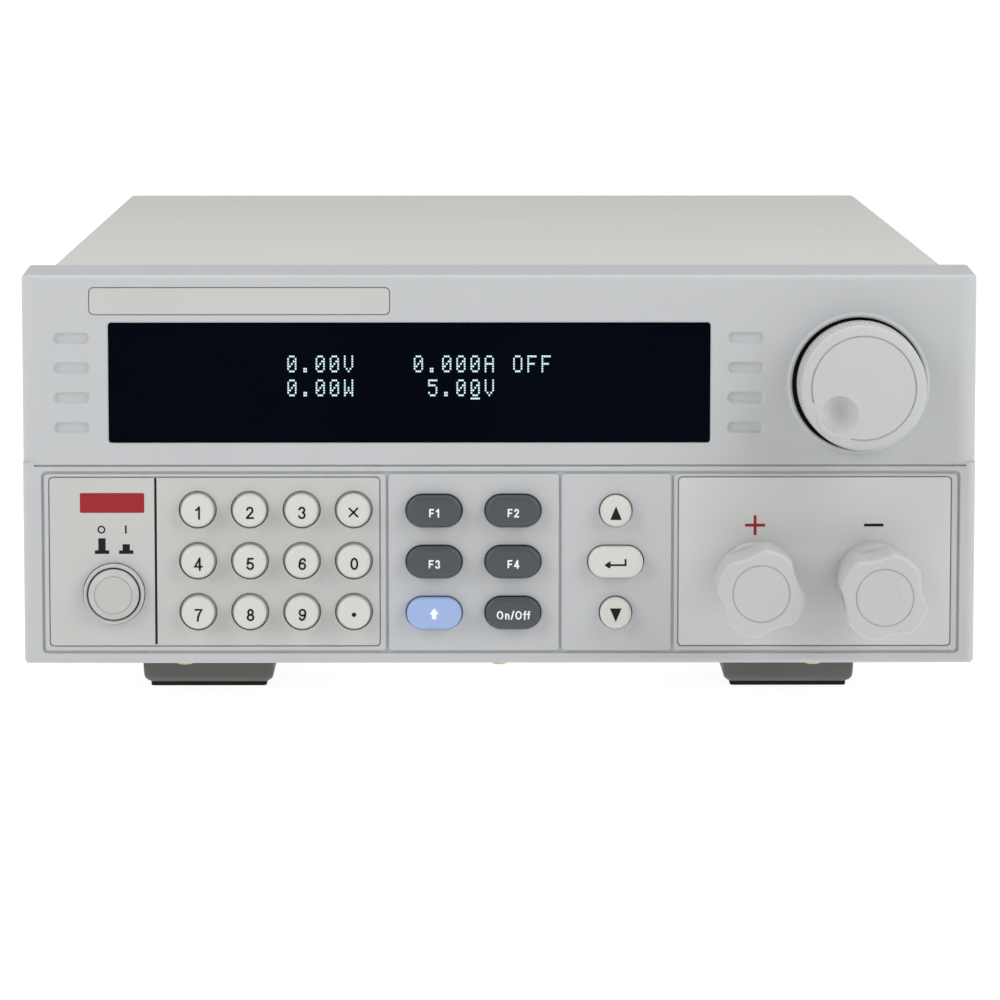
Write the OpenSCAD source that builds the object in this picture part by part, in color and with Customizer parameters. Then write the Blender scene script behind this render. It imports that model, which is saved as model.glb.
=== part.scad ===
// Bench DC electronic load in a half-rack, two-unit case.
// Moulded front bezel, sheet-metal cover and tray, rear fan, keypad,
// jog knob, latching mains button and a pair of screw-down binding posts.
// Millimetres. +Z up, the front panel faces -Y, the origin is on the floor
// under the middle of the whole object.

/* [Case] */
// Width of the front bezel
bezel_w = 214.5; // [205:0.5:230]
// Height of the front bezel without the feet
bezel_h = 88.5; // [88:0.1:92]
// Depth of the front bezel
bezel_d = 21.5; // [20:0.5:30]
// Front panel to rear panel
body_d = 350; // [345:1:380]
// Overhang of the bezel round the sheet-metal case
lip = 2.2; // [2.2:0.1:3]
// Step from the bezel down to the cover's top
lip_top = 3.1; // [2.6:0.1:4]
// Height of the bezel's lower edge above the floor
ground = 11; // [10:0.5:14]
// Thickness of the bezel's front wall
wall = 2.5; // [2:0.1:2.6]
// Thickness of the bezel's rim
rim = 2; // [1.6:0.1:2]
// Sheet thickness of the cover and the tray
sheet = 1.2; // [1:0.1:1.4]

/* [Keypad] */
// Pitch of the number keys, across
key_px = 11.7; // [11.4:0.1:11.8]
// Pitch of the key rows
key_pz = 11.58; // [11.4:0.02:11.8]
// Radius of a number key
key_r = 3.7; // [3.4:0.05:3.75]
// Length of an oval key
oval_w = 12.4; // [11.5:0.1:12.8]
// Height of an oval key
oval_h = 7.1; // [6.8:0.1:7.4]
// How far the keys stand out of the panel
key_out = 2.4; // [1.5:0.1:3]
// Travel of a key
key_travel = 1; // [0.5:0.1:1]

/* [Controls] */
// Radius of the jog knob
knob_r = 14; // [13:0.1:14.4]
// How far the jog knob stands out of the panel
knob_out = 13.5; // [12:0.5:16]
// Radius of the mains button
button_r = 5.7; // [5:0.05:5.75]
// Tip radius of a binding-post nut
post_r = 9.85; // [9.4:0.05:10]
// Length of a binding-post nut
post_len = 21; // [18:0.5:22]
// How far the negative nut is unscrewed
neg_open = 6.5; // [0:0.5:7]

/* [Feet] */
// Distance of the feet from the middle
foot_x = 67.6; // [50:0.1:75]
// Width of a foot
foot_w = 31.2; // [26:0.2:34]
// Length of a foot
foot_l = 26; // [22:1:32]

/* [Hidden] */
$fn = 48;
front_y = -(6 + neg_open + post_len);   // foremost point: the loosened nut
rear_y = body_d + 6;                    // rearmost point: the connector
y_shift = -(front_y + rear_y) / 2;      // puts the middle of the object on the origin
zb = ground;
zp = zb + 0.7;                          // datum of the front panel's layout
case_w = bezel_w - 2 * lip;
case_z0 = zb + lip;
case_z1 = zb + bezel_h - lip_top;
tray_hw = case_w / 2 - sheet - 0.35;
floor_z = case_z0 + sheet;
// front panel positions: across from the middle, up from the layout datum
key_x = [for (i = [0:3]) -67.9 + i * key_px];
row_z = [for (j = [0:2]) zp + 34.3 - j * key_pz];
oval_z = [for (z = row_z) z - 0.2];
func_x = [-14.7, 3.05];
nav_x = 26.2;     nav_r = 3.55;
pow_x = -86.85;   pow_z = zp + 15.3;
col_x = 80.6;     col_z = zp + 62.83;   // collar round the jog knob
enc_x = 80.9;     enc_z = zp + 62.9;
post_x = [57.6, 84.35];
post_z = zp + 18.7;
lens_x = -20.2;   lens_z = zp + 62.95;
lens_w = 134.8;   lens_h = 26.7;
plate_x = -58.3;  plate_z = zp + 81.35;
fan_x = 45;       fan_z = 55;
inlet_x = -66;    inlet_z = 42;
port_x = -20;     port_z = 68;
sense_x = -20;    sense_z = 38;
boss = [[-95, 81], [62, 81], [95, 81], [-95.5, 45], [-25.4, 8.5], [40, 8.5]];
pill_z = [for (j = [0:3]) zp + 73 - 6.7 * j];
board_y = 10.5;   board_t = 1.6;
deck_z = floor_z + 4.4;      // underside of the boards on the tray
main_s = [[-92, 68], [-16, 68], [-92, 226], [-16, 226]];
pow_s = [[2, 158.5], [80, 158.5], [-0.5, 312], [93, 312]];
foot_y = [50, 298];
bezel_screw_x = [-71.4, 0, 71.4];
// case screws: point under the head, direction of the shank, length
s_cover = [for (s = [-1, 1]) for (p = [[50, 22], [190, 22], [320, 22], [343, 72]])
    [[s * case_w / 2, p[0], p[1]], [-s, 0, 0], 6]];
s_fan = [for (i = [-1, 1]) for (k = [-1, 1]) [[fan_x + 30 * i, body_d, fan_z + 30 * k], [0, -1, 0], 14]];
s_inlet = [for (i = [-1, 1]) [[inlet_x + 20 * i, body_d + 2.5, inlet_z], [0, -1, 0], 8]];
s_front = [for (b = boss) [[b[0], board_y + board_t, zb + b[1]], [0, -1, 0], 6]];
s_boards = [for (p = concat(main_s, pow_s)) [[p[0], p[1], deck_z + 1.6], [0, 0, -1], 5]];
s_feet = [for (i = [-1, 1]) for (y = foot_y) [[foot_x * i, y, floor_z], [0, 0, -1], 8]];

// ---- shared shapes -------------------------------------------------------

// a rectangle with round corners, centred
module rrect(w, h, r) {
    square([w - 2 * r, h], center = true);
    square([w, h - 2 * r], center = true);
    for (i = [-1, 1]) for (k = [-1, 1]) translate([i * (w / 2 - r), k * (h / 2 - r)]) circle(r);
}
// a slot shape with round ends, centred
module stadium(w, h) {
    square([w - h, h], center = true);
    for (i = [-1, 1]) translate([i * (w - h) / 2, 0]) circle(h / 2);
}
// extrudes an outline drawn in x and z from y = a back to y = b
module slab(a, b) { translate([0, b, 0]) rotate([90, 0, 0]) linear_extrude(b - a) children(); }
// a round bar along y
module bar(x, z, a, b, r) { translate([x, b, z]) rotate([90, 0, 0]) cylinder(r = r, h = b - a); }
// a hexagonal bar along y, af across the flats, with a round bore
module hex_bar(x, z, a, b, af, bore) {
    difference() {
        translate([x, b, z]) rotate([90, 0, 0]) cylinder(r = af / sqrt(3), h = b - a, $fn = 6);
        if (bore > 0) bar(x, z, a - 1, b + 1, bore);
    }
}
// turns a body of revolution made along z so that it points out of the front
module facing(x, y, z) { translate([x, y, z]) rotate([90, 0, 0]) children(); }
// lays +z of its children along a direction that is one of the axes
module along(d) {
    rotate(d[0] != 0 ? [0, 90 * d[0], 0] : d[1] != 0 ? [-90 * d[1], 0, 0] : d[2] < 0 ? [180, 0, 0] : [0, 0, 0])
        children();
}
// pan-head screw with a cross recess, shank along +z from the origin, head below
module pan_screw(len, r = 1.5, head_r = 2.8, head_h = 2.1) {
    difference() {
        union() {
            cylinder(r = r, h = len);
            rotate_extrude() polygon([[0, 0], [head_r, 0], [head_r, -head_h * 0.45],
                [head_r * 0.8, -head_h * 0.8], [head_r * 0.45, -head_h], [0, -head_h]]);
        }
        for (a = [0, 90]) rotate([0, 0, a]) translate([-head_r * 0.55, -0.35, -head_h - 1]) cube([head_r * 1.1, 0.7, 2.2]);
    }
}
module screws(list) { for (s = list) translate(s[0]) along(s[1]) pan_screw(s[2]); }
// clearance holes for the same screws
module screw_holes(list, r = 1.6) { for (s = list) translate(s[0]) along(s[1]) translate([0, 0, -4]) cylinder(r = r, h = s[2] + 4.4); }

// ---- case ------------------------------------------------------------------

module bezel_outline() { translate([0, zb + bezel_h / 2]) rrect(bezel_w, bezel_h, 1); }
module tile_outline(g) { translate([0.32, zp + 22.32]) rrect(206.13 + g, 40.74 + g, 1); }
module keypad_area(g) { translate([-64.12, zp + 22.5]) rrect(74.2 + g, 38.1 + g, 0.8 + g / 2); }
module input_area(g) { translate([71.03, zp + 22.5]) rrect(61.2 + g, 38.1 + g, 0.8 + g / 2); }

module front_bezel() color("gainsboro") difference() {
    union() {
        difference() {
            // outer shell, its upright front edges rounded
            intersection() {
                slab(0, bezel_d) bezel_outline();
                translate([0, 0, zb - 1]) linear_extrude(bezel_h + 2) union() {
                    translate([-bezel_w / 2 + 3.6, 0]) square([bezel_w - 7.2, bezel_d]);
                    translate([-bezel_w / 2, 3.6]) square([bezel_w, bezel_d - 3.6]);
                    for (i = [-1, 1]) translate([i * (bezel_w / 2 - 3.6), 3.6]) circle(3.6);
                }
            }
            // room behind the front wall
            slab(wall, bezel_d + 1) translate([0, zb + bezel_h / 2]) rrect(bezel_w - 2 * rim, bezel_h - 2 * rim, 0.8);
        }
        bar(col_x, col_z, -1.6, 1, 15.9);
        bar(pow_x, pow_z, -1.6, 1, 6.85);
        for (b = boss) bar(b[0], zb + b[1], wall - 0.5, board_y, 2.5);
    }
    // jog knob well and bush hole
    bar(col_x, col_z, -3, 1.1, 14.9);
    bar(enc_x, enc_z, -3, 4, 3.7);
    // mains button
    bar(pow_x, pow_z, -3, 4, 6);
    // display opening
    slab(-1, 4) translate([lens_x, lens_z]) rrect(lens_w + 0.4, lens_h + 0.4, 0.7);
    // label pockets
    slab(-1, 0.3) translate([plate_x, plate_z]) rrect(67.6, 6.3, 1.2);
    difference() {
        slab(-1, 0.3) keypad_area(0.4);
        bar(pow_x, pow_z, -1, 1, 6.85);
    }
    slab(-1, 0.3) input_area(0.4);
    // groove under the display, groove round the lower panel and its dividers
    slab(-1, 0.6) translate([0.3, zp + 44.25]) square([209, 0.6], center = true);
    difference() {
        slab(-1, 0.6) tile_outline(0.62);
        slab(-2, 1) tile_outline(-0.62);
    }
    for (x = [-25.25, 13.7, 39.05]) slab(-1, 0.6) translate([x, zp + 22.32]) square([0.62, 40.7], center = true);
    // finger dents beside the display
    for (x = [-96.25, 55.4]) for (z = pill_z) slab(-1, 0.6) translate([x, z]) stadium(8.1, 2.3);
    // key holes
    for (x = key_x) for (z = row_z) bar(x, z, -1, 4, key_r + 0.55);
    for (x = func_x) for (z = oval_z) slab(-1, 4) translate([x, z]) stadium(oval_w + 0.4, oval_h + 0.4);
    slab(-1, 4) translate([nav_x, oval_z[1]]) stadium(oval_w + 0.4, oval_h + 0.4);
    for (z = [oval_z[0], oval_z[2]]) bar(nav_x, z, -1, 4, nav_r + 0.2);
    // binding posts
    for (x = post_x) bar(x, post_z, -1, 4, 6);
    // screws
    screw_holes(s_front, 1.55);
    for (x = bezel_screw_x) translate([x, 8.5, zb - 1]) cylinder(r = 1.6, h = 5);
}

module display_lens() color([0.02, 0.02, 0.04]) union() {
    slab(0.4, 2.6) translate([lens_x, lens_z]) rrect(lens_w, lens_h, 0.5);
    slab(wall, 3.6) translate([lens_x, lens_z]) square([lens_w + 4, lens_h + 4], center = true);
}

module display_tube() color("darkslategray") union() {
    slab(4.2, 8.4) translate([lens_x, lens_z]) square([142, 33], center = true);
    for (i = [0:33]) for (k = [-1, 1]) translate([lens_x - 66 + 4 * i - 0.3, 8.4, lens_z + 14.5 * k - 0.3]) cube([0.6, 2.1, 0.6]);
}

module front_board() color("darkgreen") difference() {
    slab(board_y, board_y + board_t) difference() {
        translate([-99, zb + 6]) square([198, 77]);
        translate([46, zb]) square([60, 46]);
    }
    bar(pow_x, pow_z, board_y - 1, board_y + 3, 3);
    screw_holes(s_front);
}

module tact_at(x, z) {
    translate([x - 3, 7, z - 3]) cube([6, board_y - 7, 6]);
    bar(x, z, 5.6, 7.5, 1.7);
}
module tact_switches() color("dimgray") {
    for (x = key_x) for (z = row_z) tact_at(x, z);
    for (x = func_x) for (z = oval_z) tact_at(x, z);
    for (z = oval_z) tact_at(nav_x, z);
}

module name_plate() color("lightgray") slab(0.05, 0.3) translate([plate_x, plate_z]) rrect(67.2, 5.9, 1);

module keypad_overlay() color("lightgray") difference() {
    slab(0.05, 0.3) keypad_area(0);
    for (x = key_x) for (z = row_z) bar(x, z, -1, 1, key_r + 0.6);
    bar(pow_x, pow_z, -1, 1, 7);
}

module input_overlay() color("lightgray") difference() {
    slab(0.05, 0.3) input_area(0);
    for (x = post_x) bar(x, post_z, -1, 1, 6.1);
}

module top_cover() color("silver") difference() {
    slab(12, body_d) translate([0, (case_z0 + case_z1) / 2]) rrect(case_w, case_z1 - case_z0, 1.6);
    slab(11, body_d + 1) translate([0, (case_z0 + case_z1) / 2]) rrect(case_w - 2 * sheet, case_z1 - case_z0 - 2 * sheet, 0.4);
    // open underside
    translate([-case_w / 2 + sheet, 11, case_z0 - 1]) cube([case_w - 2 * sheet, body_d, 4]);
    // air slots in both sides
    for (i = [0:13]) for (z = [40, 66]) translate([-case_w / 2 - 1, 70 + 7.5 * i, z]) rotate([0, 90, 0])
        linear_extrude(case_w + 2) rotate([0, 0, 0]) union() {
            translate([-8, 0]) square([16, 2.6], center = true);
            translate([-16, 0]) circle(1.3);
            circle(1.3);
        }
    screw_holes(s_cover);
}

module base_tray() color("silver") difference() {
    union() {
        translate([-tray_hw, 5.5, case_z0]) cube([2 * tray_hw, body_d - 7, sheet]);
        for (i = [-1, 1]) translate([i > 0 ? tray_hw - sheet : -tray_hw, 14, case_z0]) cube([sheet, body_d - 15.5, 16]);
        // standoffs
        for (p = concat(main_s, pow_s)) translate([p[0], p[1], floor_z - 0.2]) cylinder(r = 3, h = deck_z - floor_z + 0.2);
        // front nuts pressed in the sheet
        for (x = bezel_screw_x) translate([x, 8.5, floor_z - 0.2]) cylinder(r = 2.6, h = 2);
    }
    screw_holes(s_cover);
    screw_holes(s_boards);
    screw_holes(s_feet);
    for (x = bezel_screw_x) translate([x, 8.5, case_z0 - 2]) cylinder(r = 1.6, h = 8);
}

module rear_panel() color("silver") difference() {
    union() {
        slab(body_d - 1.5, body_d) translate([-tray_hw, floor_z + 0.3]) square([2 * tray_hw, case_z1 - sheet - floor_z - 0.6]);
        for (i = [-1, 1]) translate([i > 0 ? tray_hw - sheet : -tray_hw, body_d - 13, 34]) cube([sheet, 12, 56]);
    }
    // fan grille
    for (k = [-4:4]) let (w = 2 * sqrt(33 * 33 - 49 * k * k)) slab(body_d - 3, body_d + 1)
        translate([fan_x, fan_z + 7 * k]) stadium(w, 3.8);
    slab(body_d - 3, body_d + 1) translate([inlet_x, inlet_z]) square([27.6, 20.1], center = true);
    slab(body_d - 3, body_d + 1) translate([port_x, port_z]) square([20, 11], center = true);
    for (i = [-1, 1]) bar(port_x + 12.5 * i, port_z, body_d - 3, body_d + 1, 1.7);
    slab(body_d - 3, body_d + 1) translate([sense_x, sense_z]) square([22.6, 9.6], center = true);
    screw_holes(concat(s_cover, s_fan, s_inlet));
}

module foot_at(x, y) difference() {
    hull() {
        translate([x - foot_w / 2, y - foot_l / 2, case_z0 - 2]) cube([foot_w, foot_l, 2]);
        translate([x - foot_w / 2 + 0.7, y - foot_l / 2 + 0.7, 1.8]) cube([foot_w - 1.4, foot_l - 1.4, 1]);
        translate([x - foot_w / 2 + 1.6, y - foot_l / 2 + 1.6, 1]) cube([foot_w - 3.2, foot_l - 3.2, 1]);
    }
    translate([x - foot_w / 2 + 2, y - foot_l / 2 + 2, 0]) cube([foot_w - 4, foot_l - 4, 2.2]);
    translate([x, y, 4]) cylinder(r = 1.6, h = 20);
}
module feet() color("dimgray") for (i = [-1, 1]) for (y = foot_y) foot_at(foot_x * i, y);

module foot_pads() color([0.08, 0.08, 0.08]) for (i = [-1, 1]) for (y = foot_y)
    translate([foot_x * i - foot_w / 2 + 2.1, y - foot_l / 2 + 2.1, 0]) cube([foot_w - 4.2, foot_l - 4.2, 2.2]);

module bezel_screws() color("goldenrod") for (x = bezel_screw_x) translate([x, 8.5, zb]) pan_screw(7, 1.5, 2.15, 1.25);

module case_screws() color("gray") {
    screws(s_cover);
    screws(s_fan);
    screws(s_inlet);
    screws(s_front);
    screws(s_boards);
    screws(s_feet);
}

// ---- keys ---------------------------------------------------------------------

module round_key(x, z, r = key_r) facing(x, 0, z) rotate_extrude() polygon([
    [0, -4.5], [1.6, -4.5], [1.6, -3.8], [r + 1, -3.8], [r + 1, -2.8], [r, -2.8],
    [r, key_out - 0.5], [r - 0.5, key_out], [0, key_out]]);
module oval_key(x, z) translate([x, 0, z]) union() {
    slab(-key_out, -key_out + 0.5) stadium(oval_w - 0.7, oval_h - 0.7);
    slab(-key_out + 0.4, 3) stadium(oval_w, oval_h);
    slab(2.8, 3.8) stadium(oval_w + 1.8, oval_h + 1.8);
    bar(0, 0, 3.5, 4.5, 1.6);
}
module key_1() color("whitesmoke") round_key(key_x[0], row_z[0]);
module key_2() color("whitesmoke") round_key(key_x[1], row_z[0]);
module key_3() color("whitesmoke") round_key(key_x[2], row_z[0]);
module key_escape() color("whitesmoke") round_key(key_x[3], row_z[0]);
module key_4() color("whitesmoke") round_key(key_x[0], row_z[1]);
module key_5() color("whitesmoke") round_key(key_x[1], row_z[1]);
module key_6() color("whitesmoke") round_key(key_x[2], row_z[1]);
module key_0() color("whitesmoke") round_key(key_x[3], row_z[1]);
module key_7() color("whitesmoke") round_key(key_x[0], row_z[2]);
module key_8() color("whitesmoke") round_key(key_x[1], row_z[2]);
module key_9() color("whitesmoke") round_key(key_x[2], row_z[2]);
module key_point() color("whitesmoke") round_key(key_x[3], row_z[2]);
module func_key_1() color("slategray") oval_key(func_x[0], oval_z[0]);
module func_key_2() color("slategray") oval_key(func_x[1], oval_z[0]);
module func_key_3() color("slategray") oval_key(func_x[0], oval_z[1]);
module func_key_4() color("slategray") oval_key(func_x[1], oval_z[1]);
module shift_key() color("cornflowerblue") oval_key(func_x[0], oval_z[2]);
module on_off_key() color("slategray") oval_key(func_x[1], oval_z[2]);
module up_key() color("whitesmoke") round_key(nav_x, oval_z[0], nav_r);
module enter_key() color("whitesmoke") oval_key(nav_x, oval_z[1]);
module down_key() color("whitesmoke") round_key(nav_x, oval_z[2], nav_r);

// ---- mains button, jog knob -----------------------------------------------------

// latched in: its face stands a little proud of the collar
module power_button() color("whitesmoke") facing(pow_x, 0, pow_z) rotate_extrude() polygon([
    [0, -19], [2.2, -19], [2.2, -6], [button_r, -6], [button_r, 2], [button_r - 1.4, 3.2], [0, 3.2]]);

module power_switch() color([0.15, 0.15, 0.16]) difference() {
    translate([pow_x - 7.5, board_y + board_t, pow_z - 8]) cube([15, 22, 16]);
    bar(pow_x, pow_z, 0, 22.5, 2.3);
}

module encoder_body() color("silver") difference() {
    union() {
        translate([enc_x - 6.5, 4, enc_z - 6.5]) cube([13, 6.5, 13]);
        bar(enc_x, enc_z, -3, 4.5, 3.5);
    }
    bar(enc_x, enc_z, -4, 8.6, 3.03);
}

module encoder_shaft() color("silver") bar(enc_x, enc_z, 2.5 - knob_out, 8.2, 2.97);

module encoder_knob() color("gainsboro") difference() {
    facing(enc_x, 0, enc_z) rotate_extrude() polygon([
        [0, -0.2], [knob_r - 0.4, -0.2], [knob_r, 0.3], [knob_r - 0.4, knob_out - 1.6],
        [knob_r - 0.9, knob_out - 0.5], [knob_r - 1.9, knob_out], [0, knob_out]]);
    // bore for the shaft and room for the threaded bush
    bar(enc_x, enc_z, 2.3 - knob_out, 1, 3.01);
    bar(enc_x, enc_z, -3.6, 1, 4.2);
    // finger dimple
    translate([enc_x - 5.45, -knob_out - 2.2, enc_z - 5.9]) sphere(r = 4.8);
}

// ---- binding posts -----------------------------------------------------------------

module post_studs() color("goldenrod") for (x = post_x) union() {
    bar(x, post_z, -22, 18, 3);
}

module post_insulators() color("gainsboro") for (x = post_x) {
    difference() {
        union() { bar(x, post_z, -5.5, 0, 8.4); bar(x, post_z, -1, wall - 0.2, 5.8); }
        bar(x, post_z, -7, 7, 3.1);
    }
    difference() { bar(x, post_z, wall, 6, 8); bar(x, post_z, 0, 7, 3.1); }
}

module post_nuts() color("silver") for (x = post_x) {
    hex_bar(x, post_z, 6.2, 9.8, 10, 3.05);
    hex_bar(x, post_z, 11.5, 15.5, 10, 3.05);
}

module busbars() color("peru") for (x = post_x) difference() {
    union() {
        translate([x - 7, 9.9, post_z - 7]) cube([14.5, 1.5, 14]);
        translate([x + 6, 10, post_z - 6]) cube([1.5, 151, 12]);
        translate([x + 6, 156.5, deck_z + 1.6]) cube([1.5, 4.5, 8]);
    }
    bar(x, post_z, 0, 20, 3.2);
}

// four broad lobes between shallow flutes, the first flute towards +x
module star(r) difference() {
    circle(r, $fn = 96);
    for (a = [0:3]) rotate([0, 0, 90 * a]) translate([r + 13.3, 0]) circle(14.65, $fn = 160);
}
// screw-down nut whose rear face is at y = 0 and front at y = -post_len:
// a round flange at the rear, the fluted grip in front of it
module post_knob(turn) difference() {
    union() {
        intersection() {
            slab(-post_len, -2) rotate([0, 0, turn]) star(post_r);
            facing(0, 0, 0) rotate_extrude() polygon([[0, 0], [post_r - 0.8, 2], [post_r - 0.35, 3.2],
                [post_r, post_len - 1.4], [post_r - 0.5, post_len - 0.5], [post_r - 1.6, post_len], [0, post_len]]);
        }
        facing(0, 0, 0) rotate_extrude() polygon([[0, 0], [post_r - 1.2, 0], [post_r - 0.8, 0.5],
            [post_r - 0.8, 2.4], [0, 2.4]]);
    }
    bar(0, 0, -post_len + 3.5, 1, 3.15);
    bar(0, 0, -1.8, 1, 6.6);
    difference() { bar(0, 0, -post_len - 1, -post_len + 0.4, 6.5); bar(0, 0, -post_len - 2, 0, 6.05); }
}
// captive pressure ring in the nut's rear face
module post_clamp() difference() { bar(0, 0, -1.6, 0.1, 6.3); bar(0, 0, -3, 1, 3.15); }

module post_knob_pos() color("gainsboro") translate([post_x[0], -6, post_z]) post_knob(21.5);
module post_clamp_pos() color("goldenrod") translate([post_x[0], -6, post_z]) post_clamp();
module post_knob_neg() color("gainsboro") translate([post_x[1], -6 - neg_open, post_z]) post_knob(13);
module post_clamp_neg() color("goldenrod") translate([post_x[1], -6 - neg_open, post_z]) post_clamp();

// ---- inside -------------------------------------------------------------------------

module heatsinks() color("silver") for (i = [-1, 1]) union() {
    translate([fan_x + (i > 0 ? 32 : -37), 165, deck_z + 1.6]) cube([5, 150, 71]);
    for (k = [0:9]) translate([fan_x + (i > 0 ? 1 : -33), 165, 23 + 7.2 * k]) cube([32, 150, 2]);
}

module mosfets() color([0.12, 0.12, 0.12]) for (i = [-1, 1]) for (y = [190, 238, 286]) union() {
    translate([fan_x + (i > 0 ? 37 : -42), y - 8, 45]) cube([5, 16, 21]);
    for (k = [-1:1]) translate([fan_x + 39.5 * i - 0.4, y + 5.4 * k - 0.6, deck_z + 1.6]) cube([0.8, 1.2, 26]);
}

module power_board() color("darkgreen") difference() {
    translate([-5, 153.5, deck_z]) cube([102.5, 164, 1.6]);
    screw_holes(s_boards);
}

module fan_frame() color([0.1, 0.1, 0.1]) difference() {
    union() {
        difference() {
            translate([fan_x - 35, body_d - 26.5, fan_z - 35]) cube([70, 25, 70]);
            bar(fan_x, fan_z, body_d - 30, body_d, 33.2);
        }
        bar(fan_x, fan_z, body_d - 6, body_d - 2, 16);
        for (a = [0:3]) translate([fan_x, body_d - 5.2, fan_z]) rotate([0, 28 + 90 * a, 0]) translate([14, 0, -1.5]) cube([21.5, 2.8, 3]);
    }
    bar(fan_x, fan_z, body_d - 30, body_d - 3, 1.6);
    screw_holes(s_fan, 1.7);
}

// hub, seven pitched blades and the rotor's own shaft
module fan_rotor() color([0.13, 0.13, 0.14]) union() {
    bar(fan_x, fan_z, body_d - 25.5, body_d - 7, 17);
    bar(fan_x, fan_z, body_d - 8, body_d - 4, 1.5);
    intersection() {
        for (a = [0:6]) translate([fan_x, body_d - 16, fan_z]) rotate([0, a * 360 / 7, 0])
            rotate([38, 0, 0]) translate([15, -0.7, -11]) cube([20, 1.4, 22]);
        bar(fan_x, fan_z, body_d - 24, body_d - 8, 32);
    }
}

module transformer_core() color([0.3, 0.3, 0.32]) difference() {
    translate([-92, 262, floor_z]) cube([60, 22, 50]);
    for (i = [-1, 1]) translate([-62 + 15 * i - 5, 252, floor_z + 10]) cube([10, 40, 30]);
}
module transformer_coil() color("peru") difference() {
    translate([-62 - 19.9, 252, floor_z + 10.3]) cube([39.8, 42, 29.4]);
    translate([-62 - 10.1, 261.9, floor_z]) cube([20.2, 22.2, 60]);
}

module main_board() color("darkgreen") difference() {
    union() {
        translate([-97.5, 62, deck_z]) cube([87.5, 170, 1.6]);
        for (p = [[-80, 200, 8, 26], [-60, 200, 8, 26], [-42, 204, 6, 18], [-80, 178, 6, 18]])
            translate([p[0], p[1], deck_z + 1.5]) cylinder(r = p[2], h = p[3]);
        for (p = [[-70, 120, 14, 14], [-44, 130, 10, 18], [-80, 92, 18, 8], [-40, 96, 8, 20]])
            translate([p[0], p[1], deck_z + 1.5]) cube([p[2], p[3], 2.2]);
        for (x = [-30, -24, -18]) translate([x, 176, deck_z + 1.5]) cube([4.5, 10, 16]);
        translate([-66, 64, deck_z + 1.5]) cube([34, 8, 9]);
    }
    screw_holes(s_boards);
}

// ---- rear fittings --------------------------------------------------------------------

module inlet_socket() color([0.08, 0.08, 0.08]) difference() {
    union() {
        difference() {
            union() {
                slab(body_d, body_d + 2.5) translate([inlet_x, inlet_z]) rrect(50, 22.6, 4);
                slab(body_d - 22, body_d + 0.5) translate([inlet_x, inlet_z]) square([27.2, 19.7], center = true);
            }
            slab(body_d - 14, body_d + 3) translate([inlet_x, inlet_z]) rrect(24.2, 16.6, 1.5);
        }
        for (p = [[-7, -2], [0, 2.4], [7, -2]]) translate([inlet_x + p[0] - 1, body_d - 27, inlet_z + p[1] - 2]) cube([2, 23.5, 4]);
    }
    screw_holes(s_inlet, 1.7);
}

// nine-way connector with two hexagonal jack posts
module comm_port() color("silver") difference() {
    union() {
        slab(body_d, body_d + 1) translate([port_x, port_z]) rrect(31, 12.6, 1);
        slab(body_d - 10, body_d + 0.5) translate([port_x, port_z]) square([19.4, 10.4], center = true);
        slab(body_d, body_d + 6) translate([port_x, port_z]) polygon([[-8.4, 4], [8.4, 4], [7.1, -4], [-7.1, -4]]);
        for (i = [-1, 1]) hex_bar(port_x + 12.5 * i, port_z, body_d + 0.5, body_d + 6, 4.75, 0);
    }
    for (i = [-1, 1]) bar(port_x + 12.5 * i, port_z, body_d + 0.2, body_d + 7, 1.42);
    for (i = [0:4]) bar(port_x - 5.54 + 2.77 * i, port_z + 1.42, body_d + 2, body_d + 7, 0.55);
    for (i = [0:3]) bar(port_x - 4.155 + 2.77 * i, port_z - 1.42, body_d + 2, body_d + 7, 0.55);
}

// four-way clamp block for the sense leads
module sense_terminal() color("seagreen") difference() {
    union() {
        slab(body_d - 9, body_d + 5.5) translate([sense_x, sense_z]) square([22, 9], center = true);
        slab(body_d, body_d + 1) translate([sense_x, sense_z]) square([25, 11], center = true);
    }
    for (i = [0:3]) {
        slab(body_d - 2, body_d + 7) translate([sense_x - 7.62 + 5.08 * i, sense_z - 1.6]) square([3, 3.2], center = true);
        translate([sense_x - 7.62 + 5.08 * i, body_d + 3.2, sense_z + 1]) cylinder(r = 1.5, h = 6);
    }
}

module placed() translate([0, y_shift, 0]) children();

placed() front_bezel();
placed() display_lens();
placed() display_tube();
placed() front_board();
placed() tact_switches();
placed() name_plate();
placed() keypad_overlay();
placed() input_overlay();
placed() top_cover();
placed() base_tray();
placed() rear_panel();
placed() feet();
placed() foot_pads();
placed() bezel_screws();
placed() case_screws();
placed() encoder_body();
placed() post_studs();
placed() post_insulators();
placed() post_nuts();
placed() busbars();
placed() heatsinks();
placed() mosfets();
placed() power_board();
placed() fan_frame();
placed() transformer_core();
placed() transformer_coil();
placed() main_board();
placed() inlet_socket();
placed() comm_port();
placed() sense_terminal();
placed() power_switch();
placed() key_1();
placed() key_2();
placed() key_3();
placed() key_4();
placed() key_5();
placed() key_6();
placed() key_7();
placed() key_8();
placed() key_9();
placed() key_0();
placed() key_point();
placed() key_escape();
placed() func_key_1();
placed() func_key_2();
placed() func_key_3();
placed() func_key_4();
placed() shift_key();
placed() on_off_key();
placed() up_key();
placed() down_key();
placed() enter_key();
placed() power_button();
placed() encoder_knob();
placed() encoder_shaft();
placed() post_clamp_pos();
placed() post_knob_pos();
placed() post_clamp_neg();
placed() post_knob_neg();
placed() fan_rotor();
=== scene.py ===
import math
import random

import bpy
import numpy as np
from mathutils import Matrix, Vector
from mathutils.geometry import delaunay_2d_cdt


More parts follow.
